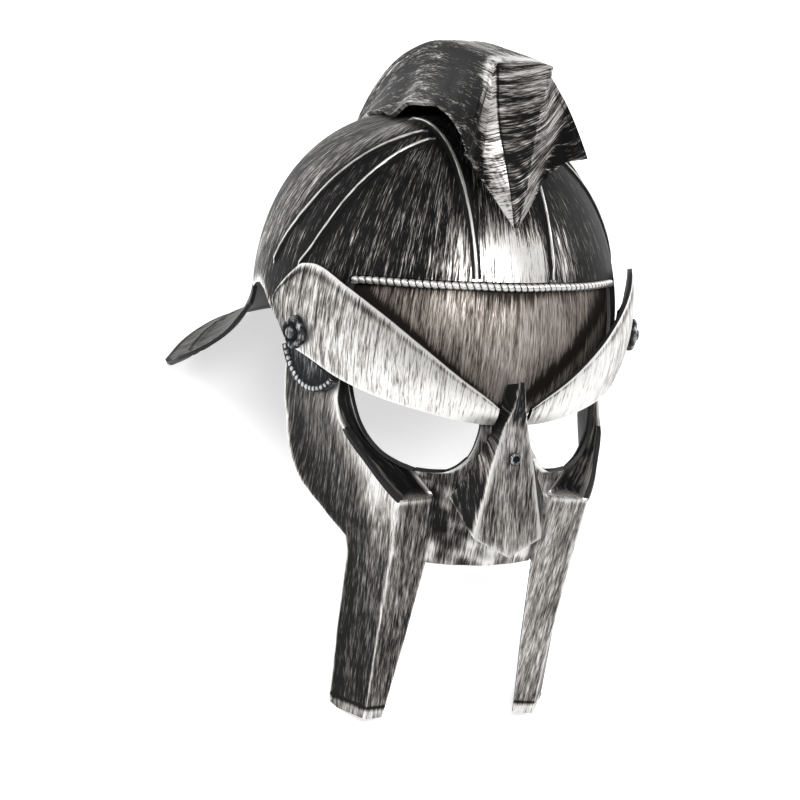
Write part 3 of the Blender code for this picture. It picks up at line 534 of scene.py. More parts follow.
class HELMET_PG_trim(PropertyGroup):
    """Sizes of the rope moulding, wings and small parts."""
    rope_radius: length("Rope radius", "Radius of a strand of the rope moulding", 1.9)
    strand_pitch: length("Strand pitch", "Distance from one strand to the next", 4.5)
    wing_top: length("Wing stand-off", "Distance from the skull to the top edge of a wing", 9.5)
    wing_bottom: length("Wing foot", "Distance from the skull to the bottom edge of a wing", 5.5)
    forehead_inset: length("Forehead inset", "How far the forehead plate lies inside the skull", 3.5)
    disc_radius: length("Disc radius", "Radius of the half disc at the temple", 22.5)
    rosette_radius: length("Rosette radius", "Radius of a rosette", 8.2)


class HELMET_PG_crest(PropertyGroup):
    """Sizes of the crest."""
    clearance: length("Clearance", "Gap between the skirt of the crest and the skull", 2.6)
    top_round: length("Top round", "Rounding at the top of the crest", 6.0)
    steps: IntProperty(name="Steps", description="Surface steps between two sections", default=9,
                       min=2, max=14)


class HELMET_PG_paint(PropertyGroup):
    """Brightest colour of each paint, and the bare plastic."""
    silver: colour("Silver", "Paint of the wings, ribs, rope moulding and nose guard", (0.64, 0.635, 0.62))
    mask: colour("Mask", "Paint of the half mask", (0.62, 0.615, 0.60))
    dome: colour("Dome", "Paint of the dome and the crest", (0.66, 0.655, 0.64))
    forehead: colour("Forehead", "Paint of the forehead plate", (0.60, 0.57, 0.54))
    guard: colour("Guard", "Paint of the neck guard", (0.55, 0.54, 0.53))
    rivets: colour("Rivets", "Paint of the rosettes, the stud and the temple discs", (0.46, 0.465, 0.475))
    plastic: colour("Plastic", "Bare plastic of the inside", (0.010, 0.010, 0.010))


def part_settings(context):
    """Settings of the helmet kept on the scene."""
    scene = context.scene
    return scene.helmet_skull, scene.helmet_trim, scene.helmet_crest, scene.helmet_paint


# ---------------------------------------------------------------- pieces

class HELMET_OT_skull(Operator):
    """Build the skull: an ellipsoid over azimuth and distance from its top, cut off along the rim,
    with narrow ribs laid along it between dark grooves."""
    bl_idname = "helmet.skull"
    bl_label = "Skull"

    def execute(self, context):
        sizes = context.scene.helmet_skull
        skull = Skull(sizes)
        columns, rows = 360, 96
        azimuth = np.arange(columns) * 360.0 / columns - 180.0
        rim_down = np.arccos((straight(np.abs(azimuth), RIM) + skull.drop) / skull.h)
        share = np.linspace(0.02, 1.0, rows)[:, None]
        down = share * rim_down
        turn = np.radians(azimuth)
        x = skull.a * np.sin(down) * np.sin(turn)
        f = skull.b * np.sin(down) * np.cos(turn)
        z = skull.h * np.cos(down) - skull.drop
        z = z - skull.slope(f, z)
        points = np.vstack([joined(x, f, z), [[0.0, 0.0, skull.over(0.0, 0.0)]]])
        faces = [grid(rows, columns, closed=True, flip=True), fan(np.arange(columns), len(points) - 1)]
        # Strokes run down from the top: across them by the turn, along them by the angle from the top.
        strokes = np.vstack([joined(9.5 * np.sin(turn), 9.5 * np.cos(turn), 9.0 * down), np.zeros((1, 3))])
        wear_and_painted_light = self.shade(points)
        arch = bump(share, 1.0, 0.02) * rising(np.abs(azimuth), 78.0, 84.0)
        wear_and_painted_light[:-1] += 0.8 * arch.ravel()
        make_piece(skull, "skull_shell", points, faces, strokes, wear_and_painted_light, bold_look(), skull.wall, ["skull"],
                   dark_rim=True)
        self.add_ribs(skull, sizes)
        return {"FINISHED"}

    def shade(self, points):
        """Paint lies thin beside the ribs; painted shade darkens the top under the crest and the sides of the
        front, the wearer's left more, and a painted highlight brightens the front low down.
        """
        x, f, z = points.T
        wear_and_painted_light = np.zeros(len(points))
        for rib in RIBS:
            for side, _ in SIDES:
                line = np.array(rib) * np.array([side, 1.0])
                way = line[1:] - line[:-1]
                offset = points[:, None, :2] - line[:-1]
                part = np.clip((offset * way).sum(-1) / (way * way).sum(-1), 0.0, 1.0)
                gap = np.linalg.norm(offset - part[..., None] * way, axis=-1).min(axis=1)
                wear_and_painted_light -= 0.20 * bump(gap, 3.2, 1.8)
        # Painted shade on the top of the skull under the crest.
        wear_and_painted_light -= 0.28 * rising(np.abs(x), 32.0, 16.0) * (f < 88.0) * rising(z, 48.0, 68.0)
        # Painted highlight: more paint low on the middle of the front.
        wear_and_painted_light += 0.70 * rising(f, 0.0, 60.0) * bump(z, 40.0, 13.0) * bump(x, 2.0, 32.0)
        behind = rising(f + 0.22 * np.abs(x), 28.0, 18.0)
        # Painted shade on both sides of the front half, deeper on the wearer's left.
        wear_and_painted_light -= (1.0 - behind) * np.where(x > 0.0, 0.52, 0.24) * rising(np.abs(x), 0.0, 40.0)
        wear_and_painted_light -= 0.12 * behind
        return wear_and_painted_light

    def add_ribs(self, skull, sizes):
        """Ribs: the profile of a bead between two flat dark margins, carried along each line square to the
        skull."""
        points, faces, strokes = [], [], []
        count = 90
        width, height = RIB_PROFILE[:, 0, None], RIB_PROFILE[:, 1, None]
        steps = np.arange(count)
        taper = np.clip(np.minimum(steps, steps[::-1]) / 3.0, 0.25, 1.0)[:, None, None]
        for number, rib in enumerate(RIBS):
            table = numbered(rib)
            place = np.linspace(0.0, len(rib) - 1.0, count)
            for side, _ in SIDES:
                x = side * curve(place, table, 1)
                f = curve(place, table, 2)
                line = np.stack([x, f, skull.over(x, f)], axis=1)
                way = np.gradient(line, axis=0)
                way /= np.linalg.norm(way, axis=1)[:, None]
                out = skull.normal(line)
                across = np.cross(out, way)
                wide = MM * sizes.rib_width * width * across[:, None, :]
                high = MM * sizes.rib_height * height * out[:, None, :]
                faces.append(grid(count, len(RIB_PROFILE), first=sum(map(len, points))))
                points.append((line[:, None, :] + wide + taper * high).reshape(-1, 3))
                along = STROKE_MM * np.cumsum(np.linalg.norm(np.gradient(line, axis=0), axis=1))
                strokes.append(joined(0.4 * width[:, 0] + 20.0, number + side, along[:, None]))
        wear_and_painted_light = np.tile(-0.9 + 1.5 * height[:, 0] ** 2, count * len(points))
        make_piece(skull, "skull_ribs", np.vstack(points), faces, np.vstack(strokes), wear_and_painted_light, silver_look())


class HELMET_OT_rope(Operator):
    """Build the rope moulding: a tube along the front rim whose radius swells in slanted strands."""
    bl_idname = "helmet.rope"
    bl_label = "Rope moulding"

    def execute(self, context):
        trim = context.scene.helmet_trim
        skull = Skull(context.scene.helmet_skull)
        radius = MM * trim.rope_radius
        strands = round(2.0 * math.radians(ROPE_END) * skull.b / (MM * trim.strand_pitch))
        steps, sides = 10, 16
        place = np.linspace(0.0, strands, strands * steps + 1)
        angle = -ROPE_END + 2.0 * ROPE_END * place / strands
        centre = skull.at(angle, curve(np.abs(angle), FRONT_RIM) - radius - 0.5, -1.0)
        around = 2.0 * math.pi * np.arange(sides) / sides
        twist = place[:, None] + 0.18 * np.sin(around)
        ridges = np.sqrt(np.abs(np.sin(math.pi * twist)))
        swell = radius * (0.60 + 0.40 * ridges)
        wide, high, turn = np.broadcast_arrays(np.cos(around), np.sin(around), np.radians(angle)[:, None])
        ring = np.stack([wide * np.sin(turn), wide * np.cos(turn), high], axis=-1)
        points = (centre[:, None, :] + swell[..., None] * ring).reshape(-1, 3)
        points = np.vstack([points, centre[:1], centre[-1:]])
        first = np.arange(sides)
        last = first + (len(place) - 1) * sides
        faces = [grid(len(place), sides, closed=True, flip=True),
                 fan(first, len(points) - 2), fan(last, len(points) - 1, flip=True)]
        wear_and_painted_light = np.append(-1.0 + 2.4 * ridges, [0.0, 0.0])
        make_piece(skull, "rope_beads", points, faces, STROKE_MM * points, wear_and_painted_light, silver_look(),
                   replaces=["rope_edge"])
        return {"FINISHED"}


class HELMET_OT_guard(Operator):
    """Build the neck guard: rows flare outwards and down from the rim, with a line embossed along the
    edge."""
    bl_idname = "helmet.guard"
    bl_label = "Neck guard"

    def execute(self, context):
        skull = Skull(context.scene.helmet_skull)
        angle = np.linspace(107.5, 252.5, 190)
        fold = np.minimum(angle, 360.0 - angle)
        reach = GUARD_REACH / np.sin(np.radians(np.minimum(fold, 140.0))) - skull.a
        flare = np.minimum(curve(fold, GUARD, 1), reach)
        edge = curve(fold, GUARD, 2)
        top = straight(fold, RIM) - 0.05
        rows = np.concatenate([np.linspace(0.0, 1.0, 52), np.linspace(0.785, 0.875, 18)])
        share = np.sort(rows)[:, None]
        out = flare * share ** 1.9
        emboss = 0.7 * (bump(share, 0.80, 0.018) + bump(share, 0.86, 0.018)) * rising(flare, 12.0, 24.0)
        z = top + (edge - top) * (1.15 * share - 0.15 * share ** 2) + emboss
        turn = np.radians(angle)
        points = joined((skull.a + out) * np.sin(turn), (skull.b + out) * np.cos(turn), z)
        wear_and_painted_light = touched(0.06, (-0.6, share, 1.0, 0.022), (-0.6, share, 0.83, 0.012), (-0.2, share, 0.0, 0.15))
        make_piece(skull, "neck_guard_shell", points, [grid(*z.shape, flip=True)],
                   upright(angle, 3.0, 5.0 * share), np.broadcast_to(wear_and_painted_light, z.shape).ravel(), grey_look(),
                   skull.wall, ["neck_guard"], dark_rim=True)
        return {"FINISHED"}


class HELMET_OT_forehead(Operator):
    """Build the forehead plate: the skull's own surface, set inwards, from under the rope to the mask."""
    bl_idname = "helmet.forehead"
    bl_label = "Forehead plate"

    def execute(self, context):
        trim = context.scene.helmet_trim
        skull = Skull(context.scene.helmet_skull)
        angle = np.linspace(-ROPE_END, ROPE_END, 200)
        away = np.abs(angle)
        top = curve(away, FRONT_RIM) + 3.0
        # The lower edge reaches down behind the wings' inner ends, where it closes a slit but for a speck.
        low = curve(away, MASK_TOP) + 0.8 - 10.0 * bump(away, 6.5, 5.5)
        share = np.linspace(0.0, 1.0, 60)[:, None]
        z = top + (low - top) * share
        points = skull.at(np.broadcast_to(angle, z.shape), z, -MM * trim.forehead_inset).reshape(-1, 3)
        left = rising(angle, 0.0, 10.0)
        under = z - curve(away, WING, 1)
        # Painted shade: the first touch darkens a band under the rope moulding, the second a band along the
        # wings' top edges, where the wings stand off.
        edges = touched(0.0, (0.7, share, 0.06, 0.09), (0.6, under, -4.5 + 3.0 * left, 3.2 + 2.3 * left))
        middle = 0.16 + 0.16 * bump(angle, 0.0, 30.0) * bump(share, 0.4, 0.3)
        wear_and_painted_light = (middle - edges - 0.2 * rising(away, 44.0, 54.0)).ravel()
        make_piece(skull, "forehead_shell", points, [grid(*z.shape, flip=True)],
                   upright(angle, 7.0, STROKE_MM * z), wear_and_painted_light, warm_look(), skull.wall, ["forehead_plate"],
                   dark_rim=True)
        return {"FINISHED"}


class HELMET_OT_wings(Operator):
    """Build both brow wings: bands between two edges over the angle, standing off the skull and bowed."""
    bl_idname = "helmet.wings"
    bl_label = "Brow wings"

    def execute(self, context):
        trim = context.scene.helmet_trim
        skull = Skull(context.scene.helmet_skull)
        angle = np.concatenate([np.linspace(WING[0][0], 68.0, 130), np.linspace(68.4, WING[-1][0], 40)])
        top = curve(angle, WING, 1)
        low = curve(angle, WING, 2)
        share = np.linspace(0.0, 1.0, 48)[:, None]
        z = top + (low - top) * share
        stand = MM * (trim.wing_top + (trim.wing_bottom - trim.wing_top) * share)
        stand = stand + 1.2 * np.sin(math.pi * share)
        wear_and_painted_light = touched(0.26, (0.5, share, 0.0, 0.035), (0.3, share, 1.0, 0.03), (-0.3, share, 0.09, 0.04),
                       (0.34, angle, 22.0, 20.0))
        wear_and_painted_light = (wear_and_painted_light - 0.2 * rising(angle, 62.0, 74.0)).ravel()
        for side, word in SIDES:
            points = skull.at(side * np.broadcast_to(angle, z.shape), z, stand).reshape(-1, 3)
            make_piece(skull, f"brow_wing_{word}_shell", points, [grid(*z.shape, flip=side > 0)],
                       upright(angle, 11.0 + side, STROKE_MM * z), wear_and_painted_light, silver_look(), skull.wall,
                       [f"brow_wing_{word}"], dark_rim=True)
        return {"FINISHED"}


def mask_base(turn, z):
    """Radius of the mask without its ridge: the side's radius, which turns into the front's with the cube
    of the angle's cosine."""
    front, side = straight(z, MASK_FRONT), straight(z, MASK_SIDE)
    return side + (front - side) * np.abs(np.cos(np.radians(turn))) ** 3


def cheek_radius(turn, z):
    """Radius of the flat cheek: in plan a straight line from the ridge to the outer edge."""
    ridge, outer = straight(z, RIDGE), straight(z, MASK_OUTER)
    at_ridge = mask_base(ridge, z) + straight(z, RIDGE, 2)
    at_outer = mask_base(outer, z)
    parts = at_ridge * np.sin(np.radians(turn - ridge)) + at_outer * np.sin(np.radians(outer - turn))
    return at_ridge * at_outer * np.sin(np.radians(outer - ridge)) / np.maximum(parts, 1.0)


def mask_rows(table):
    """Heights of rows from block to block, which share the row between them."""
    blocks = [low + (high - low) * np.linspace(0.0, 1.0, count) ** ease for low, high, count, ease in table]
    return np.concatenate(blocks[:1] + [block[1:] for block in blocks[1:]])[:, None]


def inner_edge(z, eye):
    """Angle of the mask's inner edge: straight lines below the eye hole, and one side of the hole above."""
    return np.where(z > EYE_FLOOR, curve(z, eye), straight(z, MASK_INNER))


class HELMET_OT_mask(Operator):
    """Build the half mask from blocks of rows at one height: lip, facet or eye socket, and cheek,
    each between two outlines given over the height."""
    bl_idname = "helmet.mask"
    bl_label = "Half mask"

    def execute(self, context):
        skull = Skull(context.scene.helmet_skull)
        points, faces, strokes, wear_and_painted_light = [], [], [], []
        for side, _ in SIDES:
            for turn, z, radius, worn_and_lit, across in (self.lip(side), self.facet(), self.cheek()):
                x = side * radius * np.sin(np.radians(turn))
                f = radius * np.cos(np.radians(turn))
                faces.append(grid(*x.shape, first=sum(map(len, points)), flip=side < 0))
                points.append(joined(x, f, z))
                strokes.append(joined(side * across, 15.0, STROKE_MM * z))
                # Painted light: the wearer's left half of the mask is painted lighter by 0.16.
                wear_and_painted_light.append(np.broadcast_to(worn_and_lit + (0.16 if side > 0.0 else 0.0), x.shape).ravel())
        points = np.vstack(points)
        _, first, back = np.unique(np.round(points, 3), axis=0, return_index=True, return_inverse=True)
        make_piece(skull, "face_mask_shell", points[first], self.welded(back.ravel()[np.vstack(faces)]),
                   np.vstack(strokes)[first], np.concatenate(wear_and_painted_light)[first], fine_look(), skull.wall,
                   ["face_mask"], sharp=26.0, dark_rim=True)
        return {"FINISHED"}

    def welded(self, faces):
        """Faces whose corners all differ, and triangles in place of those where two corners fell together."""
        whole = (faces != np.roll(faces, -1, axis=1)).all(axis=1)
        slivers = [face[np.sort(np.unique(face, return_index=True)[1])] for face in faces[~whole]]
        triangles = [face for face in slivers if len(face) == 3]
        return [faces[whole]] + ([np.array(triangles)] if triangles else [])

    def lip(self, side):
        """From the middle to the inner edge, which above is the nose side of the eye hole. Low ripples, a
        sum of slanted sine waves, cross the lip."""
        z = mask_rows(MASK_ROWS[1:4])
        share = np.linspace(0.0, 1.0, 30)
        turn = inner_edge(z, EYE_IN) * share
        edge = bump(share, 1.0, 0.10) * rising(z, -63.0, -60.0)
        way = side * turn
        ripple = np.sin(0.47 * way + 0.17 * z + 0.6) + 0.8 * np.sin(0.29 * z - 0.71 * way + 1.3)
        ripple = ripple + 0.6 * np.sin(1.13 * way + 0.11 * z + 4.0) + 0.5 * np.sin(0.83 * z + 0.37 * way)
        ripple = 0.2 * ripple * (z < -64.0)
        radius = mask_base(turn, z) + 0.9 * edge + ripple * (1.0 - share) ** 0.5
        wear_and_painted_light = -0.14 + 1.1 * edge + 0.3 * bump(z, -101.0, 8.0) + 0.75 * np.clip(ripple, -0.3, 0.5)
        return turn, z, radius, wear_and_painted_light, 10.0 * np.radians(turn)

    def facet(self):
        """From the inner edge, which above is the cheek side of the eye hole, to the ridge. The plate below
        rises straight to the ridge; the socket above is sunk in its middle and raised at the hole."""
        z = mask_rows(MASK_ROWS)
        inner, ridge, rise = inner_edge(z, EYE_OUT), straight(z, RIDGE), straight(z, RIDGE, 2)
        share = np.linspace(0.0, 1.0, 26)
        turn = inner + (ridge - inner) * share
        start = np.where(z < LIP_LOW + 0.1, 2.0, 0.0)
        low = np.where(share > 0.0, 2.0 + (rise - 2.0) * share, start)
        socket = rise * rising(share, 0.72, 1.0) + 1.4 * bump(share, 0.0, 0.12) * rising(z, -62.5, -60.5)
        socket = socket - 0.8 * bump(share, 0.5, 0.2)
        above = rising(z, -71.6, -70.4)
        radius = mask_base(turn, z) + low * (1.0 - above) + socket * above
        plate = touched(-0.06, (0.45, share, 1.0, 0.04), (0.3, share, 0.0, 0.03), (-0.6, z, TIP_BAND, 0.9))
        plate = plate + 0.35 * bump(z, -72.5, 1.4) * (share > 0.1) + 0.3 * (z < TIP_BAND)
        pit = touched(-0.4, (0.95, share, 1.0, 0.07), (1.3, share, 0.0, 0.12))
        across = np.where(above > 0.5, 1.4 * share + 30.0, 10.0 * np.radians(turn))
        return turn, z, radius, plate * (1.0 - above) + pit * above, across

    def cheek(self):
        """From the ridge to the outer edge, flat in plan."""
        z = mask_rows(MASK_ROWS)
        ridge, outer = straight(z, RIDGE), straight(z, MASK_OUTER)
        share = np.linspace(0.0, 1.0, 44)
        turn = ridge + (outer - ridge) * share
        wear_and_painted_light = touched(-0.18, (0.5, share, 0.0, 0.03), (0.9, share, 1.0, 0.025), (-0.15, share, 0.8, 0.15),
                       (-0.6, z, TIP_BAND, 0.9))
        wear_and_painted_light = wear_and_painted_light + 0.3 * (z < TIP_BAND) + 0.4 * bump(share, 0.0, 0.2) * rising(z, -90.0, -72.0)
        wear_and_painted_light = wear_and_painted_light + 0.2 * bump(share, 0.18, 0.16) * bump(z, -78.0, 26.0)
        return turn, z, cheek_radius(turn, z), wear_and_painted_light, 10.0 * np.radians(turn)


class HELMET_OT_nose(Operator):
    """Build the nose guard: four flat facets ruled between the lines of its corners, and its stud."""
    bl_idname = "helmet.nose"
    bl_label = "Nose guard"

    def execute(self, context):
        skull = Skull(context.scene.helmet_skull)
        lowest = len(NOSE) - 1.0
        place = np.linspace(0.0, lowest, 90)
        z, f, half, back_z, back_f, back_half = [straight(place, numbered(NOSE), k) for k in range(1, 7)]
        tip = rising(place, lowest - 1.0, lowest) ** 1.5
        middle = [np.zeros_like(z), f + NOSE_FOLD + NOSE_TIP_RISE * tip, z - NOSE_TIP_DROP * tip]
        lines = np.array([[-back_half, back_f, back_z], [-half, f, z], middle, [half, f, z],
                          [back_half, back_f, back_z]]).transpose(2, 0, 1)
        share = np.linspace(0.0, 4.0, 41)
        at = np.minimum(share.astype(int), 3)
        part = (share - at)[:, None]
        points = lines[:, at] * (1.0 - part) + lines[:, at + 1] * part
        strokes = STROKE_MM * points * np.array([1.0, 0.0, 1.0]) + np.array([40.0, 2.0, 0.0])
        down = place[:, None]
        wear_and_painted_light = touched(0.04, (0.8, share, 1.0, 0.09), (0.8, share, 3.0, 0.09), (0.55, down, lowest, 0.05),
                       (0.3, down, 0.6, 0.9))
        wear_and_painted_light = wear_and_painted_light + 0.2 * bump(share, 2.0, 0.5) * bump(down, 5.0, 1.4)
        wear_and_painted_light = wear_and_painted_light - 0.28 * ((share < 0.9) | (share > 3.1)) - 0.5 * rising(z, -32.0, -25.0)[:, None]
        make_piece(skull, "nose_guard_shell", points.reshape(-1, 3), [grid(*wear_and_painted_light.shape, flip=True)],
                   strokes.reshape(-1, 3), wear_and_painted_light.ravel(), silver_look(), skull.wall, ["nose_guard"],
                   sharp=18.0)
        self.add_stud(skull)
        return {"FINISHED"}

    def add_stud(self, skull):
        """Ring-shaped rivet turned from a profile about an axis square to the nose guard."""
        centre = np.array([0.0, 125.15, -44.8])
        # The nose guard's front leans by about 8 degrees here.
        out = np.array([0.0, 0.989, 0.145])
        up = np.array([0.0, -0.145, 0.989])
        points, faces, turn = turned(centre, out, up, STUD_RADIUS, STUD_HEIGHT, STUD, 40)
        wear_and_painted_light = np.append(np.repeat(STUD[:, 2], len(turn)), STUD[-1, 2])
        make_piece(skull, "nose_stud_ring", points, faces, STROKE_MM * points, wear_and_painted_light, rivet_look(),
                   replaces=["nose_stud"])


def turned(centre, out, up, radius, height, profile, count, petals=0, depth=0.0):
    """Surface turned about an axis from a profile's shares, closed at its middle, with optional petals,
    and the angle of each point of a ring."""
    across = np.cross(out, up)
    turn = 2.0 * math.pi * np.arange(count) / count
    wide, high = profile[:, :1], profile[:, 1]
    petal = 1.0 - depth * (0.5 - 0.5 * np.cos(petals * turn)) * np.minimum(1.0, 1.5 * wide)
    spread = radius * wide * petal
    points = (centre + (height * high)[:, None, None] * out
              + (spread * np.cos(turn))[..., None] * up + (spread * np.sin(turn))[..., None] * across)
    points = np.vstack([points.reshape(-1, 3), [centre + height * high[-1] * out]])
    last = np.arange(count) + (len(profile) - 1) * count
    faces = [grid(len(profile), count, closed=True, flip=True), fan(last, len(points) - 1, flip=True)]
    return points, faces, turn


class HELMET_OT_crest(Operator):
    """Build the crest: sections from a skirt to a rounded top, carried back over the skull, with a flat
    face in front ruled between its two creases."""
    bl_idname = "helmet.crest"
    bl_label = "Crest"

    def execute(self, context):
        skull = Skull(context.scene.helmet_skull)
        side = self.sections(skull, context.scene.helmet_crest)
        rows, high = side.shape[:2]
        run = self.travelled(side, 0)
        below = self.travelled(side[:, ::-1], 1)[:, ::-1]
        whole = np.hstack([side, side[:, -2::-1] * MIRROR])
        width = whole.shape[1]
        both = [np.hstack([lengths, lengths[:, -2::-1]]) for lengths in (run, below)]
        strokes, wear_and_painted_light = self.paint(whole, *both)
        face, quads = self.face(whole[0, :high], rows * width, width)
        face_strokes, face_wear_and_painted_light = self.face_paint(face, below[0, :high - 1, None])
        last = quads[:, 1] == quads[:, 2]
        rear = (rows - 1) * width + np.arange(width)
        other = rear[::-1]
        rungs = np.stack([rear[:high - 2], rear[1:high - 1], other[1:high - 1], other[:high - 2]], axis=-1)
        faces = [grid(rows, width, flip=True), quads[~last], quads[last][:, [0, 1, 3]], rungs,
                 rear[None, high - 2:high + 1]]
        make_piece(skull, "crest_shell", np.vstack([whole.reshape(-1, 3), face.reshape(-1, 3)]), faces,
                   np.vstack([strokes, face_strokes]), np.concatenate([wear_and_painted_light.ravel(), face_wear_and_painted_light.ravel()]),
                   bold_look(), skull.wall, ["crest"], sharp=28.0)
        return {"FINISHED"}

    def sections(self, skull, crest):
        """Sections of the wearer's left side, each from the skirt up: a side bowed by its hollow, then a
        rounded top. The first ones pass from the crease of the front face to the table's first section."""
        place = np.linspace(0.0, len(CREST) - 1.0, (len(CREST) - 1) * crest.steps + 1)
        table = numbered(CREST)
        top_half, top_f, top_z, hollow = [curve(place, table, k)[:, None] for k in (1, 2, 3, 7)]
        foot_half, foot_f = [straight(place, table, k)[:, None] for k in (4, 5)]
        clear = MM * crest.clearance
        feet = np.maximum(column(CREST, 5), skull.over(column(CREST, 3), column(CREST, 4), clear))
        foot_z = curve(place, list(enumerate(feet)))[:, None]
        foot_z = np.maximum(foot_z, skull.over(foot_half, foot_f, clear))
        rise = MM * crest.top_round
        share = np.linspace(0.0, 1.0, 31)
        half = top_half + (foot_half - top_half) * (1.0 - share) ** hollow
        f = foot_f + (top_f - foot_f) * share ** np.maximum(1.0, 1.0 / hollow)
        z = foot_z + (top_z - rise - foot_z) * share
        quarter = np.radians(90.0 * np.linspace(0.0, 1.0, 13)[1:] ** 1.4)
        inward, upward = np.cos(quarter) ** 0.4, np.sin(quarter) ** 0.6
        cap_f = np.broadcast_to(top_f, (len(place), len(quarter)))
        side = np.stack([np.hstack([half, top_half * inward]), np.hstack([f, cap_f]),
                         np.hstack([z, top_z - rise + rise * upward])], axis=-1)
        up = np.interp(share, CREASE_SHARES, np.arange(len(CREASE)))
        crease = joined(*[curve(up, numbered(CREASE), k) for k in (1, 2, 3)])
        cap = joined(CREST[0][0] * inward, CREASE[-1][1], CREASE[-1][2] + CREST_CAP * upward)
        between = np.linspace(0.0, 1.0, 6)[:-1, None, None]
        lead = np.vstack([crease, cap]) * (1.0 - between) + side[:1] * between
        return np.concatenate([lead, side])

    def travelled(self, points, axis):
        """Length run along one axis of a net of points from its first point."""
        steps = np.diff(points, axis=axis, prepend=np.take(points, [0], axis=axis))
        return np.cumsum(np.linalg.norm(steps, axis=2), axis=axis)

    def strokes(self, level, along):
        """Strokes across the crest by their level under its top, a little finer than along them."""
        return joined(0.12 * level + 60.0, 5.0, STROKE_MM * along)

    def paint(self, whole, run, below):
        """Strokes of both sides run back from the face; a painted highlight lies in a band behind the face,
        stronger on the wearer's right, with painted shade in a trough behind it; paint lies thick along the
        skirt and the top, and fainter in wavy lines that follow the top."""
        left = whole[..., 0] > 0.0
        level = below + np.where(left, 5.0 + np.minimum(run, 16.0), 0.0)
        along = np.where(left, 1.0, -1.0) * (np.abs(whole[:1, :, 0]) + run)
        place = np.arange(whole.shape[1])
        foot = np.minimum(place, place[::-1])
        # The touch on the run is painted shade in a trough behind the band of painted highlight.
        wear_and_painted_light = touched(-0.34, (-0.10, run, 28.0, 13.0), (0.30, foot, 0.0, 1.0))
        # Painted highlight: a bright band along the face's edges, stronger on the wearer's right.
        wear_and_painted_light = wear_and_painted_light + np.where(left, 0.48, 0.62) * rising(run, 19.0, 12.0) + 0.25 * rising(run, 60.0, 110.0)
        wear_and_painted_light = wear_and_painted_light + 0.45 * rising(below, 12.0, 6.0) * rising(run, 0.0, 6.0)
        wear_and_painted_light = wear_and_painted_light + 0.12 * np.sin(0.61 * level + 0.03 * run)
        wear_and_painted_light = wear_and_painted_light + 0.11 * np.sin(1.13 * level + 2.0 - 0.05 * run)
        return self.strokes(level, along), wear_and_painted_light

    def face(self, edge, start, width):
        """Points of the front face between its two edges, which meet at the top, and its faces."""
        share = np.linspace(0.0, 1.0, FACE_STEPS + 1)[1:-1, None]
        points = edge[:-1, None] * (1.0 - share) + (edge * MIRROR)[:-1, None] * share
        rows = len(edge) - 1
        index = np.full((rows + 1, FACE_STEPS + 1), rows)
        index[:-1, 0] = np.arange(rows)
        index[:-1, 1:-1] = start + np.arange(rows * (FACE_STEPS - 1)).reshape(rows, -1)
        index[:-1, -1] = width - 1 - np.arange(rows)
        quads = np.stack([index[:-1, :-1], index[1:, :-1], index[1:, 1:], index[:-1, 1:]], axis=-1)
        return points, quads.reshape(-1, 4)

    def face_paint(self, face, depth):
        """Strokes of the front face run across it; paint lies thin low down and near the top, and a painted
        shadow darkens a line at one edge.
        """
        share = np.linspace(0.0, 1.0, FACE_STEPS + 1)[1:-1]
        x = face[..., 0]
        level = depth + 5.0 * share[::-1] ** 2
        # The touch on the share is a painted shadow: a dark line close to one edge of the face.
        wear_and_painted_light = touched(0.06, (-0.5, depth, 3.0, 1.5), (-0.7, share, 0.975, 0.03))
        wear_and_painted_light = wear_and_painted_light - 0.26 * rising(depth, 26.0, 46.0)
        wear_and_painted_light = wear_and_painted_light + 0.17 * np.sin(0.72 * level) + 0.15 * np.sin(1.27 * level + 1.0 + 0.1 * x)
        return self.strokes(level, x), wear_and_painted_light


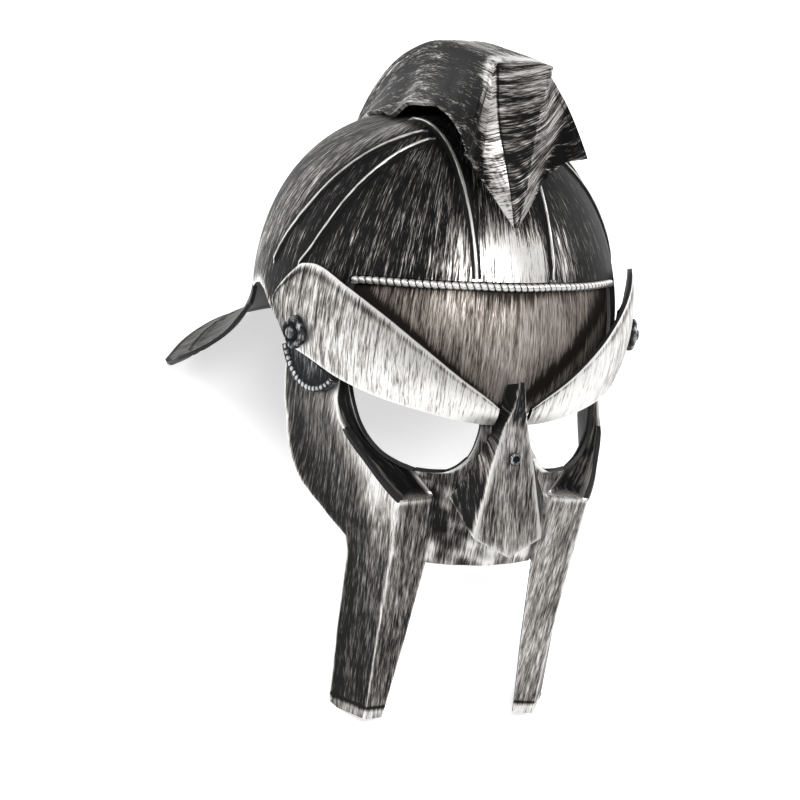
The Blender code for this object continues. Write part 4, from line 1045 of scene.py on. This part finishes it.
class HELMET_OT_rivets(Operator):
    """Build the rosettes, turned with four petals, and the half discs of the temples with beaded borders."""
    bl_idname = "helmet.rivets"
    bl_label = "Rosettes and temple discs"

    def execute(self, context):
        trim = context.scene.helmet_trim
        skull = Skull(context.scene.helmet_skull)
        up = np.array([0.0, 0.0, 1.0])
        for side, word in SIDES:
            centre = skull.at(side * ROSETTE_ANGLE, ROSETTE_Z, ROSETTE_STAND)
            out = np.array([centre[0] / skull.a ** 2, centre[1] / skull.b ** 2, 0.0])
            out /= np.linalg.norm(out)
            points, faces, turn = turned(centre, out, up, MM * trim.rosette_radius, ROSETTE_HEIGHT, ROSETTE,
                                         96, petals=4, depth=0.13)
            lobes = 0.25 * np.cos(8.0 * turn) * np.linspace(1.0, 0.0, len(ROSETTE))[:, None]
            wear_and_painted_light = np.append(ROSETTE[:, 2:] + lobes, ROSETTE[-1, 2])
            make_piece(skull, f"rosette_{word}_head", points, faces, STROKE_MM * points, wear_and_painted_light, rivet_look(),
                       replaces=[f"rosette_{word}"])
            self.add_disc(skull, trim, side, word)
        return {"FINISHED"}

    def add_disc(self, skull, trim, side, word):
        """Rows from the edge under the wing out to the round border, where the beads stand up."""
        radius = MM * trim.disc_radius
        swing = np.radians(np.linspace(-74.0, 74.0, 170))
        aside = radius * np.sin(swing)
        turn = DISC_ANGLE + np.degrees(aside / 90.0)
        top = straight(turn, WING, 2)
        low = np.minimum(DISC_Z - radius * np.cos(swing), top - 0.5)
        middle = top[len(top) // 2]
        share = np.linspace(0.02, 1.0, 44)[:, None]
        at = DISC_ANGLE + (turn - DISC_ANGLE) * share
        upper = np.interp(at, turn, top)
        z = np.minimum(upper + (low - middle) * share - (upper - middle) * share, upper)
        surface = np.where(at >= straight(z, RIDGE), cheek_radius(at, z), mask_base(at, z))
        along = np.cumsum(np.hypot(np.diff(aside, prepend=-radius), np.diff(low, prepend=low[0])))
        beads = np.abs(np.sin(math.pi * along / BEAD_PITCH))
        border = np.clip(1.6 * bump(share, 0.89, 0.07) - 0.3, 0.0, 1.0)
        height = touched(1.1 * beads ** 0.35 * border, (0.5, share, 0.99, 0.03), (-0.25, share, 0.8, 0.03))
        out = surface + DISC_STAND + DISC_WALL + height
        angle = np.radians(at)
        points = joined(side * out * np.sin(angle), out * np.cos(angle), z)
        wear_and_painted_light = touched(-0.05 - 0.5 * border, (0.35, share, 0.35, 0.3), (0.4, share, 1.0, 0.02))
        wear_and_painted_light = (wear_and_painted_light + 1.5 * border * beads ** 0.5).ravel()
        make_piece(skull, f"cheek_disc_{word}_plate", points, [grid(*z.shape, flip=side > 0)],
                   STROKE_MM * points, wear_and_painted_light, rivet_look(), DISC_WALL, [f"cheek_disc_{word}"])


# ---------------------------------------------------------------- stage

class HELMET_OT_stage(Operator):
    """Set the camera, a pale floor and soft studio light."""
    bl_idname = "helmet.stage"
    bl_label = "Camera, floor and light"

    def execute(self, context):
        skull = Skull(context.scene.helmet_skull)
        self.add_camera(context.scene, skull)
        self.add_floor(context.scene)
        self.add_lights(context.scene, skull)
        return {"FINISHED"}

    def add_camera(self, scene, skull):
        """Camera 1.6 m away, 21 degrees to the wearer's right and 20 degrees above the brow's level."""
        swing, rise = math.radians(21.0), math.radians(20.0)
        right = Vector((math.cos(swing), math.cos(rise) * math.sin(swing), math.sin(rise) * math.sin(swing)))
        up = Vector((0.0, -math.sin(rise), math.cos(rise)))
        back = Vector((-math.sin(swing), math.cos(swing) * math.cos(rise), math.cos(swing) * math.sin(rise)))
        away, aside, under = 1600.0, 16.857, 57.511
        place = back * away - right * aside - up * under
        data = bpy.data.cameras.new("camera")
        data.sensor_width = 36.0
        data.lens = 145.224
        data.clip_end = 20.0
        camera = bpy.data.objects.new("camera", data)
        scene.collection.objects.link(camera)
        axes = Matrix([skull.turn(right), skull.turn(up), skull.turn(back)]).transposed()
        at = Vector(skull.place(np.array(place)))
        camera.matrix_world = Matrix.Translation(at) @ axes.to_4x4()
        scene.camera = camera

    def add_floor(self, scene):
        """Plain pale floor under the helmet, 12 m square."""
        mesh = bpy.data.meshes.new("floor")
        size = 6.0
        mesh.from_pydata([(-size, -size, 0.0), (size, -size, 0.0), (size, size, 0.0), (-size, size, 0.0)], [],
                         [(0, 1, 2, 3)])
        look = bpy.data.materials.new("floor white")
        look.use_nodes = True
        shader = look.node_tree.nodes["Principled BSDF"]
        shader.inputs["Base Color"].default_value = (0.75, 0.75, 0.75, 1.0)
        shader.inputs["Roughness"].default_value = 0.9
        shader.inputs["Specular IOR Level"].default_value = 0.1
        shader.inputs["Emission Color"].default_value = (1.0, 1.0, 1.0, 1.0)
        shader.inputs["Emission Strength"].default_value = 0.6
        mesh.materials.append(look)
        floor = bpy.data.objects.new("floor", mesh)
        scene.collection.objects.link(floor)

    def add_lights(self, scene, skull):
        """Broad soft lamps in front and at both sides, all above the helmet, and a bright room."""
        world = bpy.data.worlds.new("studio")
        world.use_nodes = True
        room = world.node_tree.nodes["Background"]
        room.inputs["Color"].default_value = (1.0, 1.0, 1.0, 1.0)
        room.inputs["Strength"].default_value = 0.55
        scene.world = world
        scene.view_settings.view_transform = "Standard"
        aim = Vector(skull.place(np.array([0.0, 60.0, 0.0])))
        lamps = [  # name, way from the aim in the helmet's frame, width, height, power
            ("front", (-0.17, 1.2, 0.80), 0.9, 0.5, 22.0),
            ("side left", (1.3, -0.1, 0.7), 0.6, 0.6, 8.0),
            ("side right", (-1.3, -0.1, 0.8), 0.6, 0.6, 8.0),
        ]
        for name, way, wide, high, power in lamps:
            data = bpy.data.lights.new(name, "AREA")
            data.shape = "RECTANGLE"
            data.size = wide
            data.size_y = high
            data.energy = power
            lamp = bpy.data.objects.new(name, data)
            scene.collection.objects.link(lamp)
            lamp.location = aim + skull.turn(way)
            lamp.rotation_mode = "QUATERNION"
            lamp.rotation_quaternion = (aim - lamp.location).to_track_quat("-Z", "Y")


class HELMET_PT_panel(Panel):
    """Buttons that build the helmet, in the sidebar of the 3D view."""
    bl_label = "Gladiator helmet"
    bl_idname = "HELMET_PT_panel"
    bl_space_type = "VIEW_3D"
    bl_region_type = "UI"
    bl_category = "Helmet"

    def draw(self, context):
        layout = self.layout
        for settings in part_settings(context):
            box = layout.box()
            for key in settings.__annotations__:
                box.prop(settings, key)
        for operator in OPERATORS:
            layout.operator(operator.bl_idname)


OPERATORS = (HELMET_OT_stage, HELMET_OT_skull, HELMET_OT_rope, HELMET_OT_guard, HELMET_OT_forehead,
             HELMET_OT_wings, HELMET_OT_mask, HELMET_OT_nose, HELMET_OT_crest, HELMET_OT_rivets)
SETTINGS = (HELMET_PG_skull, HELMET_PG_trim, HELMET_PG_crest, HELMET_PG_paint)
CLASSES = SETTINGS + OPERATORS + (HELMET_PT_panel,)


def register():
    """Add the classes and the settings to Blender."""
    for cls in CLASSES:
        bpy.utils.register_class(cls)
    bpy.types.Scene.helmet_skull = PointerProperty(type=HELMET_PG_skull)
    bpy.types.Scene.helmet_trim = PointerProperty(type=HELMET_PG_trim)
    bpy.types.Scene.helmet_crest = PointerProperty(type=HELMET_PG_crest)
    bpy.types.Scene.helmet_paint = PointerProperty(type=HELMET_PG_paint)


def unregister():
    """Take the settings and the classes away again."""
    del bpy.types.Scene.helmet_paint
    del bpy.types.Scene.helmet_crest
    del bpy.types.Scene.helmet_trim
    del bpy.types.Scene.helmet_skull
    for cls in reversed(CLASSES):
        bpy.utils.unregister_class(cls)


def main():
    """Build the whole helmet."""
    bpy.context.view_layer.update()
    register()
    bpy.ops.helmet.stage()
    bpy.ops.helmet.skull()
    bpy.ops.helmet.rope()
    bpy.ops.helmet.guard()
    bpy.ops.helmet.forehead()
    bpy.ops.helmet.wings()
    bpy.ops.helmet.mask()
    bpy.ops.helmet.nose()
    bpy.ops.helmet.crest()
    bpy.ops.helmet.rivets()


if __name__ == "__main__":
    main()
